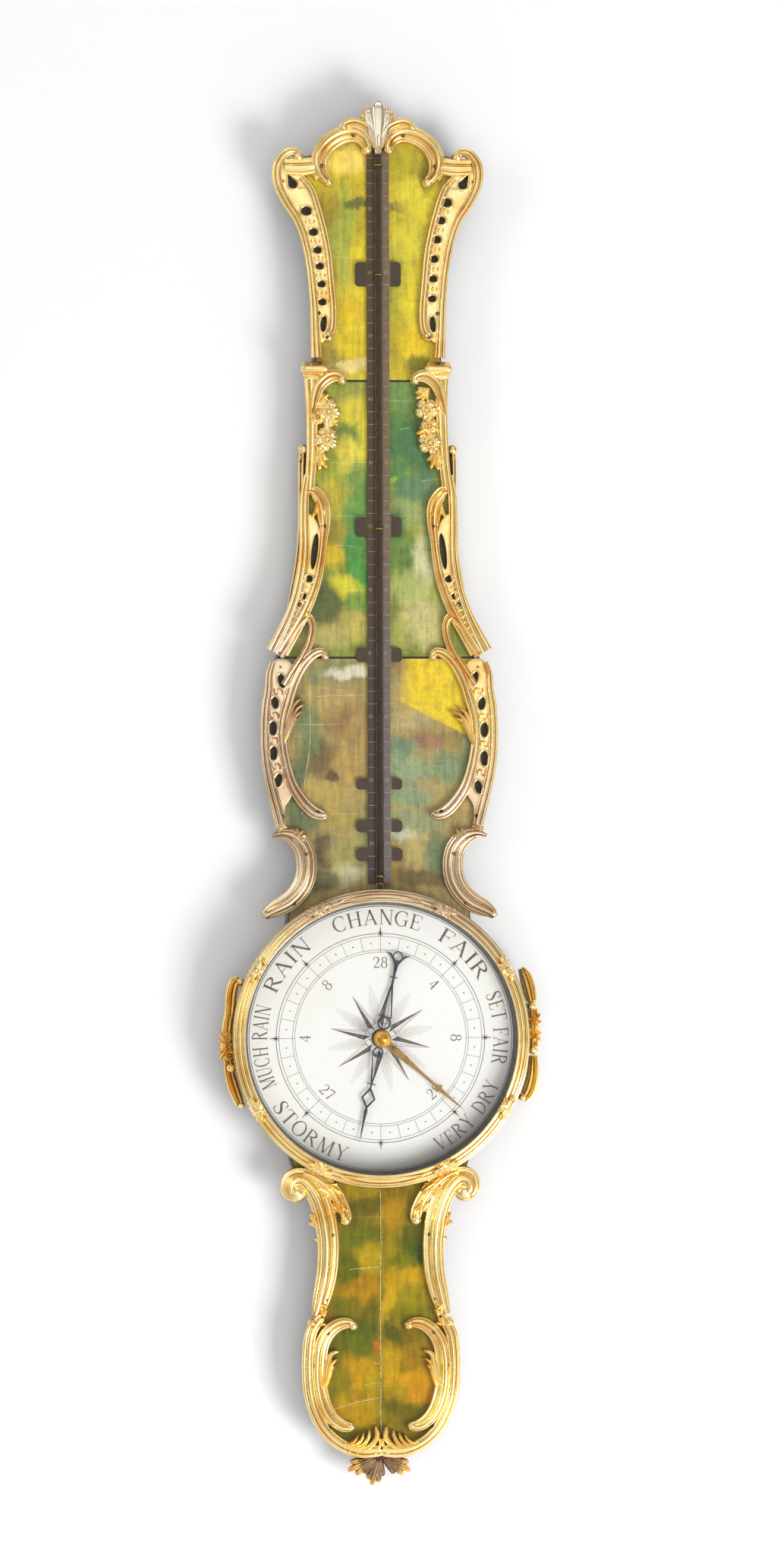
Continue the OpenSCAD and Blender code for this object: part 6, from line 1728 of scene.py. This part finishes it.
    def build(self) -> None:
        """Spins the moulding round the axis of the dial and adds the leaves."""
        mesh = bpy.data.meshes.new("bezel_ring")
        points = self.dense()
        verts = [tuple(v) for v in place(np.array([(r, 0, z) for r, z in points]))]
        mesh.from_pydata(verts, [(i, (i + 1) % len(verts)) for i in range(len(verts))], [])
        obj = new_object("bezel_ring", mesh)
        activate(obj)
        bpy.ops.object.mode_set(mode="EDIT")
        bpy.ops.mesh.select_all(action="SELECT")
        bpy.ops.mesh.spin(steps=288, dupli=False, angle=2 * math.pi, center=(0, 0, -HOOK_Y * MM), axis=(0, 1, 0))
        bpy.ops.object.mode_set(mode="OBJECT")
        weld(obj, 0.00002)
        smooth(obj, 40)
        obj.data.materials.append(BEZEL_GILT.material())
        leaves = Shapes()
        for angle in self.angles:
            self.leaf(leaves, angle)
        for angle in (90, -90):
            self.panel(leaves, angle, 34)
        clasp = leaves.build("leaves", BEZEL_GILT, angle=72.0)
        stand_for(join(obj, clasp), "case", "gilt_bronze", "bezel_ring")
        self.sight_ring()


@dataclass
class Garlands:
    """The two garlands of leaves and flowers on the sides of the dial."""

    base: float = 26.0
    relief: float = 18.0
    scrolls: dict[str, tuple[Route, ...]] = field(default_factory=lambda: {
        "left": (((111.8, 46.5, 5), (116.4, 45, 7.4), (118.8, 36, 8), (119.6, 26, 7.5), (120.6, 17, 6)),
                 ((120.4, 22, 6), (121.6, 12, 7.4), (122.4, 3, 7), (122, -8, 6)),
                 ((121.6, -16, 6), (120, -28, 7), (117, -39, 7.6), (113.8, -48, 6.8), (111.4, -54, 4.6))),
        "right": (((113.6, 55.5, 4), (117.2, 48.5, 7.6), (120.2, 38, 8.2), (121.8, 29, 6.4)),
                  ((121.6, 28, 6), (123, 18, 6.6), (123.6, 4, 6.4), (123.2, -8, 6)),
                  ((123.2, -15, 5.6), (122.8, -28, 7.2), (121.2, -38, 8.2), (118, -46, 8), (114, -49.4, 5.6))),
    })
    balls: dict[str, tuple[Stop, ...]] = field(default_factory=lambda: {
        "left": ((112.6, 45.6, 3.4), (120, -23, 4.4), (111.8, -53, 2.8)),
        "right": ((122.6, 25, 4.2), (123.6, -10, 4.2), (114.6, -48.4, 3.4)),
    })
    flowers: dict[str, tuple[Stop, ...]] = field(default_factory=lambda: {
        "left": ((121.6, 1, 4.8), (122.4, -6, 5.0), (121, -13.4, 5.2)),
        "right": ((123.4, 14, 4.4), (122.4, 8, 4.9), (123.4, 1, 4.4)),
    })

    def build(self) -> None:
        """Makes both garlands."""
        for label, side in SIDES.items():
            cast = Casting(f"dial_garland_{label}", self.relief, self.base, rng=np.random.default_rng(3 + side))
            for route, height in zip(self.scrolls[label], (0.92, 0.8, 0.86)):
                cast.scroll([(x + 0.8, y, w * 1.25) for x, y, w in route], height, Section.SCROLL, flip=True, step=0.8)
            for x, y, r in self.balls[label]:
                cast.ball(x, y, r, 0.95, 0.6)
            middle = self.flowers[label][1]
            for turn in (75, -75):
                cast.fan(middle[0] + 0.6, middle[1], turn, 14, 64, 4, 3.6, 0.92)
            for x, y, r in self.flowers[label]:
                cast.flower(x + 0.6, y, r * 1.12)
            # The lighter gilding is painted light against the shade beside the bezel
            cast.mount(PAINTED_LIGHT_GILT, side)


# --------------------------------------------------------------- scales


@dataclass
class ThermometerMarks:
    """Light lines and faint figures on the plate of the thermometer."""

    depth: float = 35.03
    top: float = 707.0
    step: float = 10.2
    bottom: float = 128.0
    lettering: Lettering = field(default_factory=Lettering)

    def build(self) -> None:
        """Makes the marks as one thin layer."""
        shapes = Shapes()
        count = int((self.top - self.bottom) / self.step)
        for k in range(count + 1):
            y = self.top - k * self.step
            for x0, x1 in ((-8.8, -3.0), (3.0, 8.8)):
                if not k % 5 == 4:
                    self.bar(shapes, x0, x1, y, 0.28)
            if k % 5 == 4:
                text = str(abs(70 - 10 * (k // 5)))
                for x in (-8.4, 4.2):
                    self.lettering.write(shapes, text, 2.6, lambda a, b, x=x, y=y: (x + a, y - 1.3 + b),
                                         self.depth, 0.12)
        lay_marks(shapes, "thermometer_scale", SCALE_INK, "slate_paint")

    def bar(self, shapes: Shapes, x0: float, x1: float, y: float, width: float) -> None:
        """Adds one level line."""
        net = [[(x0, y - width / 2, self.depth), (x0, y + width / 2, self.depth)],
               [(x1, y - width / 2, self.depth), (x1, y + width / 2, self.depth)]]
        shapes.grid(np.array(net, float))


@dataclass
class HoleGrime:
    """Painted shade: dark sheets at the bottom of the pierced holes, where the holes lie in shade."""

    depth: float = 32.05

    def build(self) -> None:
        """Makes the painted shade of all holes as one thin layer."""
        shapes = Shapes()
        for loop in HOLES:
            inner = loop.mean(axis=0) + (loop - loop.mean(axis=0)) * 0.2
            rows = [np.column_stack([line, np.full(len(line), self.depth)]) for line in (inner, loop)]
            shapes.grid(np.array([np.concatenate([row, row[:1]]) for row in rows]))
            shapes.add(rows[0], [list(range(len(loop)))])
        lay_marks(shapes, "hole_grime", HOLE_SHADE, "horn_mustard")


@dataclass
class CrazeLines:
    """Fine pale cracks in the horn."""

    depth: float = 32.03
    lines: tuple[tuple[tuple[Point, ...], float], ...] = (
        (((0.0, -122), (0.3, -170), (-0.2, -220), (0.2, -262), (0.0, -300), (0.2, -318)), 0.42),
        (((-1, -184.5), (-12, -185), (-25, -186)), 0.35),
        (((-1, -277), (-13, -279)), 0.3), (((-1, -289.5), (-18, -292.5), (-39, -298.5)), 0.4),
        (((34, 447.5), (46, 449), (54, 450)), 0.3), (((17, 489), (26, 491)), 0.3), (((-34, 396), (-18, 395)), 0.28),
        (((-52, 274.5), (-20, 275.5), (-10, 275.5)), 0.3), (((-56, 290), (-55.5, 240), (-60, 205), (-62, 180)), 0.35),
        (((60, -279), (66, -279.4)), 0.3), (((-1, -262), (-6, -261.5)), 0.3),
    )

    def build(self) -> None:
        """Makes the cracks as one thin layer."""
        rng = np.random.default_rng(11)
        shapes = Shapes()
        for line, width in self.lines:
            path = smooth_path(line, 1.2)
            path = path + np.stack([rng.normal(0, 0.10, len(path)), rng.normal(0, 0.10, len(path))], axis=1)
            side = left_of(path)
            half = width / 2 * rng.uniform(0.3, 1.2, len(path))[:, None]
            z = np.full((len(path), 1), self.depth)
            net = np.stack([np.hstack([path - side * half, z]), np.hstack([path + side * half, z])], axis=1)
            shapes.grid(net)
        lay_marks(shapes, "craze_lines", CRAZE, "horn_mustard")


# --------------------------------------------------------------- horn


def stain(*rows: tuple) -> tuple[Smudge, ...]:
    """Reads rows of x, y, half width, half height, turn, colour and share."""
    return tuple(Smudge(*row) for row in rows)


PANELS: dict[str, StainedHorn] = {
    "horn_panel_top": StainedHorn("horn_olive", (182, 172, 54), stain(
        (-24, 705, 16, 9, 0, (212, 196, 112)), (-29, 655, 9, 26, 0, (132, 150, 72)),
        (-44, 664, 10, 16, 0, (138, 124, 44)), (-15, 615, 8, 22, 0, (186, 182, 48)),
        (-29, 582, 14, 9, 0, (184, 164, 46)), (-18, 668, 9, 3, 6, (84, 88, 56)), (13, 666, 6, 3, -12, (104, 106, 62)),
        (-34, 549, 12, 12, 0, (128, 122, 72)), (-24, 540, 16, 4, 0, (200, 192, 146)),
        (24, 700, 16, 12, 0, (150, 148, 46)), (30, 675, 14, 14, 0, (190, 186, 62)),
        (22, 640, 12, 16, 0, (178, 178, 66)), (16, 600, 9, 24, 0, (142, 150, 60)),
        (28, 590, 9, 24, 0, (186, 180, 56)), (14, 560, 8, 16, 0, (146, 142, 50)),
        (30, 556, 12, 12, 0, (196, 178, 42)), (34, 538, 9, 6, 0, (104, 108, 42)), (40, 690, 6, 10, 0, (116, 114, 44)),
        (-30, 624, 6, 24, 0, (150, 162, 78)), (-20, 560, 10, 12, 0, (190, 176, 46)),
        (-40, 600, 5, 30, 0, (150, 128, 38))), tint=(1.42, 1.25, 0.96)),
    "horn_panel_middle": StainedHorn("horn_green", (120, 134, 66), stain(
        (-26, 520, 22, 7, 0, (136, 142, 76)), (-22, 505, 15, 10, 0, (192, 182, 66)),
        (-12, 486, 6, 16, 0, (200, 190, 66)), (-27, 482, 9, 9, 0, (88, 116, 60)),
        (-21, 464, 9, 16, -20, (206, 196, 84)), (-43, 454, 12, 14, 0, (136, 144, 64)),
        (-16, 449, 8, 14, 0, (92, 132, 76)), (-34, 434, 14, 12, 0, (166, 156, 62)),
        (-17, 420, 9, 16, 0, (88, 138, 80)), (-36, 407, 12, 10, 0, (138, 128, 56)),
        (-17, 393, 9, 12, 0, (56, 124, 72)), (-36, 386, 10, 9, 0, (190, 166, 44)),
        (-14, 372, 8, 11, 0, (58, 136, 70)), (-27, 362, 12, 7, 0, (192, 190, 54)),
        (-44, 345, 14, 16, 0, (80, 90, 62), 0.95), (-45, 321, 20, 9, 0, (158, 152, 108)),
        (-18, 332, 12, 12, 0, (166, 156, 94)), (-14, 350, 8, 6, 0, (100, 138, 70)),
        (20, 516, 14, 12, 0, (96, 132, 84)), (18, 484, 12, 16, 0, (70, 112, 76), 0.95),
        (30, 473, 12, 14, 0, (66, 108, 82), 0.95), (32, 440, 14, 10, 0, (88, 124, 102), 0.95),
        (16, 452, 8, 10, 0, (76, 120, 80)), (13, 447, 4, 3, 0, (132, 172, 62)), (24, 421, 14, 9, 0, (132, 150, 112)),
        (14, 412, 6, 12, 0, (70, 110, 64)), (18, 386, 12, 14, 0, (88, 120, 70)), (36, 381, 8, 20, 0, (188, 192, 168)),
        (26, 360, 14, 12, 0, (150, 160, 112)), (35, 332, 16, 16, 0, (178, 174, 134)),
        (16, 322, 10, 10, 0, (136, 144, 82)), (46, 400, 8, 20, 0, (128, 148, 112)),
        (40, 458, 8, 10, 0, (70, 108, 80))), tint=(1.30, 1.22, 0.98)),
    "horn_panel_belly": StainedHorn("horn_tan", (160, 144, 96), stain(
        (-38, 293, 20, 9, 0, (122, 132, 94)), (-26, 294, 15, 4, 0, (206, 204, 186), 0.9),
        (-38, 274, 16, 12, 0, (168, 148, 98)), (-27, 256, 16, 12, 0, (140, 114, 76)),
        (-50, 226, 12, 12, 0, (104, 88, 62)), (-58, 248, 7, 20, 0, (104, 122, 88)),
        (-26, 218, 12, 14, 0, (168, 142, 86)), (-39, 212, 4, 5, 0, (80, 62, 48)),
        (-46, 196, 14, 9, 0, (168, 148, 84)), (-66, 200, 6, 24, 0, (84, 108, 80)),
        (-36, 178, 14, 8, 0, (162, 146, 82)), (-45, 153, 6, 12, 0, (74, 64, 58)),
        (-26, 146, 12, 12, 0, (152, 146, 92)), (-28, 131, 16, 7, 0, (192, 188, 154)),
        (-48, 128, 10, 8, 0, (78, 84, 56)), (-16, 236, 6, 30, 0, (156, 136, 88)),
        (-12, 160, 6, 24, 0, (136, 136, 92)), (-56, 178, 9, 9, 0, (92, 108, 82)),
        (30, 258, 18, 7, -20, (172, 158, 116)), (39, 239, 9, 5, 0, (148, 112, 94)),
        (20, 231, 11, 8, 0, (100, 134, 116)), (24, 214, 14, 9, 0, (128, 152, 128)),
        (52, 214, 12, 14, 0, (116, 142, 110)), (40, 203, 9, 6, 0, (160, 146, 102)),
        (24, 193, 14, 8, 0, (126, 148, 122)), (62, 190, 10, 12, 0, (170, 150, 96)),
        (26, 172, 20, 9, 0, (140, 150, 116)), (22, 160, 12, 4, 0, (192, 196, 178)),
        (34, 150, 10, 12, 0, (168, 156, 106)), (48, 148, 8, 14, 0, (88, 112, 94)), (14, 138, 8, 9, 0, (150, 126, 78)),
        (34, 128, 20, 6, 0, (96, 84, 54)), (70, 222, 6, 20, 0, (108, 128, 98))),
        diagonal=True, tint=(1.10, 1.06, 1.02)),
    "horn_panel_lower_left": StainedHorn("horn_mustard", (140, 120, 42), stain(
        (-15, -122, 14, 7, 0, (152, 130, 34)), (-12, -134, 14, 7, 0, (84, 84, 36)),
        (-24, -146, 12, 8, 0, (104, 100, 48)), (-14, -162, 18, 9, 0, (92, 104, 48)),
        (-9, -177, 10, 10, 0, (170, 150, 26)), (-29, -184, 8, 12, 0, (78, 90, 46)),
        (-15, -202, 16, 9, 0, (170, 128, 26)), (-28, -214, 9, 8, 0, (98, 104, 46)),
        (-8, -223, 7, 12, 0, (88, 88, 54)), (-20, -234, 16, 9, 0, (74, 86, 46)), (-24, -246, 14, 10, 0, (82, 98, 46)),
        (-18, -270, 15, 11, 0, (192, 146, 22)), (-8, -280, 7, 14, 0, (158, 138, 34)),
        (-34, -280, 8, 14, 0, (120, 114, 42)), (-22, -300, 16, 12, 0, (166, 134, 28)),
        (-26, -320, 20, 7, 0, (96, 96, 40)), (-3, -249, 3, 4, 0, (184, 100, 20)),
        (-40, -250, 8, 14, 0, (92, 96, 42))), tint=(1.04, 0.97, 0.04)),
    "horn_panel_lower_right": StainedHorn("horn_dark_green", (142, 126, 44), stain(
        (9, -130, 9, 9, 0, (130, 104, 54)), (11, -144, 10, 9, 0, (166, 130, 54)), (26, -150, 9, 14, 0, (92, 96, 56)),
        (25, -163, 11, 9, 0, (74, 84, 58)), (30, -174, 8, 9, 0, (48, 78, 60), 0.95),
        (17, -184, 8, 12, 20, (98, 108, 46)), (28, -192, 10, 7, 0, (186, 150, 24)),
        (10, -197, 9, 9, 0, (182, 146, 24)), (24, -209, 14, 8, 0, (140, 130, 38)),
        (7, -214, 5, 12, 0, (192, 160, 24)), (26, -224, 18, 6, 0, (118, 116, 40)),
        (18, -240, 14, 8, 0, (114, 94, 50)), (12, -240, 6, 7, 0, (74, 84, 46)), (32, -256, 14, 7, 0, (142, 110, 60)),
        (8, -262, 6, 12, 0, (186, 150, 24)), (28, -276, 18, 9, 0, (202, 146, 20)),
        (32, -288, 14, 6, 0, (196, 138, 20)), (12, -284, 8, 9, 0, (150, 130, 40)), (18, -299, 16, 7, 0, (98, 94, 50)),
        (24, -314, 20, 8, 0, (116, 106, 38)), (40, -238, 8, 8, 0, (104, 98, 40))), tint=(1.04, 0.97, 0.04)),
}


# --------------------------------------------------------------- the rest


PIN_PLACES: tuple[Point, ...] = (
    (20, 725), (46, 700), (76.5, 688), (48.3, 582), (41, 563), (48, 541), (44.5, 411), (64, 348), (79.5, 298),
    (78.6, 178), (50, 181), (59, 148), (69.5, 108.5), (39.5, -158), (43.5, -210), (54.8, -263), (43, -236.5),
    (41.5, -313))


@dataclass
class PinHeads:
    """Heads of the pins that hold the mounts, seated where each meets the casting."""

    r: float = 1.45

    def build(self) -> None:
        """Finds the face of the casting at each pin and seats a sunk head in it."""
        bpy.context.view_layer.update()
        mounts = [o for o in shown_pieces() if o.type == "MESH" and any(
            word in o.name for word in ("crest", "shoulder", "flower", "belly", "cup", "lower_scroll", "lower_frame"))
            and not o.hide_render]
        shapes = Shapes()
        spots = [(s * x, y) for x, y in PIN_PLACES for s in (-1, 1)] + [(0.0, 724.8)]
        for x, y in spots:
            depth = 0.0
            origin = Vector((x * MM, -0.08, (y - HOOK_Y) * MM))
            for obj in mounts:
                hit, where, _, _ = obj.ray_cast(origin, Vector((0, 1, 0)))
                if hit:
                    depth = max(depth, -where.y * 1000)
            if depth > PANEL_FRONT:
                cast = Casting("pin", 1.0, depth - 0.9)
                cast.polar(x, y, lambda t: self.r * 1.25 + 0 * t, lambda p, t: 0.9 - 0.35 * (p < 0.85) + 0.0 * t, 9, 20)
                cast.polar(x, y, lambda t: self.r + 0 * t,
                           lambda p, t: 1.15 * np.sqrt(np.clip(1.1 - p**2, 0, 1.1)), 6, 20)
                shapes.add(np.concatenate(cast.shapes.verts), cast.shapes.faces)
        obj = shapes.build("mount_pin_heads", PIN)
        stand_for(obj, "case", "brass", "mount_pins")


class Instrument:
    """The whole barometer, in the order in which it is put together."""

    finishes: dict[str, Finish] = {
        "case_carcass": EBONY, "dial_drum": EBONY, "rear_cover": PLAIN_WOOD, "turn_button_left": IRON,
        "turn_button_right": IRON, "rear_screws": IRON, "hanging_plate": BRASS,
        "dial_glass": GLASS, "glass_retaining_ring": BRASS, "dial_plate": Enamel(),
        "dial_pins": BRASS, "plate_screws": IRON, "index_hand": STEEL, "index_arbor": STEEL, "thread_pulley": BRASS,
        "arbor_bridge": BRASS, "bridge_screws": STEEL, "set_hand": HAND_BRASS, "set_knob": BRASS, "knob_bush": BRASS,
        "siphon_tube": TUBE_GLASS, "mercury_column": MERCURY, "mercury_long_column": MERCURY,
        "mercury_short_column": MERCURY, "float": IRON, "float_thread": Thread(), "counterweight": BRASS,
        "counterweight_thread": Thread(), "tube_clips": CLIP_WOOD, "thermometer_plate": Slate(),
        "thermometer_tube": TUBE_GLASS,
        "thermometer_spirit": Metal("spirit", (58, 46, 42), (40, 30, 28), (0.2, 0.3), 0.0),
        "tube_ties": BRASS, "mount_pins": PIN,
    }

    def dress_nodes(self) -> None:
        """Gives each CAD node that stays in view its finish."""
        for node, finish in {**self.finishes, **PANELS}.items():
            dress(node, finish)
        for node, width in (("index_hand", 0.18), ("set_hand", 0.2), ("thermometer_plate", 0.25),
                            ("hanging_plate", 0.3)):
            soften(node, width)
        log.info("finishes on %d CAD nodes", len(self.finishes) + len(PANELS))

    def build(self) -> None:
        """Builds each sub-assembly in turn."""
        self.dress_nodes()
        for work in (CrestWork(), ShoulderWork(), FlowerWork(), BellyWork(), LowerWork(), Bezel(), Garlands(),
                     DialMarks(), SideStrips(), ThermometerMarks(), HoleGrime(), CrazeLines(), PinHeads()):
            work.build()
            log.info("built %s", type(work).__name__)


@dataclass
class Studio:
    """Pale wall and floor, soft light and the camera of the photograph."""

    distance: float = 5.0
    azimuth: float = -5.0
    middle: tuple[float, float] = (0.0073, -0.488)
    frame_height: float = 1.260

    def wall_material(self) -> bpy.types.Material:
        """White wall that keeps the shadow, clear from behind."""
        g = Graph("studio_wall")
        g.shader.inputs["Base Color"].default_value = (0.93, 0.93, 0.93, 1)
        g.shader.inputs["Roughness"].default_value = 0.9
        g.shader.inputs["Specular IOR Level"].default_value = 0.0
        back = g.node("NewGeometry").outputs["Backfacing"]
        g.show_blend(back, g.shader.outputs[0], g.node("BsdfTransparent").outputs[0])
        return g.material

    def sheet(self, name: str, corners: Sequence[tuple[float, float, float]], material: bpy.types.Material) -> None:
        """Adds a flat stage piece."""
        mesh = bpy.data.meshes.new(name)
        mesh.from_pydata(corners, [], [(0, 1, 2, 3)])
        mesh.materials.append(material)
        new_object(name, mesh)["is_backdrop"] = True

    def lamp(self, name: str, where: tuple[float, float, float], size: tuple[float, float], power: float) -> None:
        """Adds a soft lamp aimed at the middle of the object."""
        data = bpy.data.lights.new(name, "AREA")
        data.shape = "RECTANGLE"
        data.size, data.size_y = size
        data.energy = power
        obj = new_object(name, data)
        obj.location = where
        obj.rotation_euler = (Vector((0, 0, -0.5)) - Vector(where)).to_track_quat("-Z", "Y").to_euler()

    def build(self) -> None:
        """Sets up the stage, the lamps, the world and the camera."""
        scene = bpy.context.scene
        wall = self.wall_material()
        self.sheet("studio_wall", [(-4, 0.001, -2.4), (4, 0.001, -2.4), (4, 0.001, 2.6), (-4, 0.001, 2.6)], wall)
        self.sheet("studio_floor", [(-4, -6, -2.4), (4, -6, -2.4), (4, 4, -2.4), (-4, 4, -2.4)], wall)
        for name, where, size, power in (
                ("key", (1.7, -2.2, -1.9), (1.2, 1.2), 62), ("front", (0.3, -5.8, -0.3), (4.0, 4.0), 52),
                ("fill", (-2.6, -2.2, 0.4), (1.0, 2.0), 20), ("top", (0.2, -1.8, 1.6), (1.6, 0.8), 8)):
            self.lamp(name, where, size, power)
        world = bpy.data.worlds.new("studio")
        world.use_nodes = True
        world.node_tree.nodes["Background"].inputs[0].default_value = (0.32, 0.32, 0.32, 1)
        world.node_tree.nodes["Background"].inputs[1].default_value = 1.0
        scene.world = world
        scene.view_settings.view_transform = "Standard"
        camera = bpy.data.cameras.new("camera")
        camera.lens = 36 * self.distance / self.frame_height
        camera.dof.use_dof = False
        obj = new_object("camera", camera)
        a = math.radians(self.azimuth)
        aim = Vector((self.middle[0], -0.035, self.middle[1]))
        obj.location = aim + Vector((math.sin(a), -math.cos(a), 0)) * self.distance
        obj.rotation_euler = (aim - obj.location).to_track_quat("-Z", "Y").to_euler()
        obj.rotation_euler.rotate_axis("Z", math.radians(-0.16))
        scene.camera = obj
        log.info("studio ready")


def main() -> None:
    """Builds the barometer and the studio."""
    logging.basicConfig(level=logging.INFO, format="%(message)s")
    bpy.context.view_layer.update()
    Instrument().build()
    Studio().build()


if __name__ == "__main__":
    main()
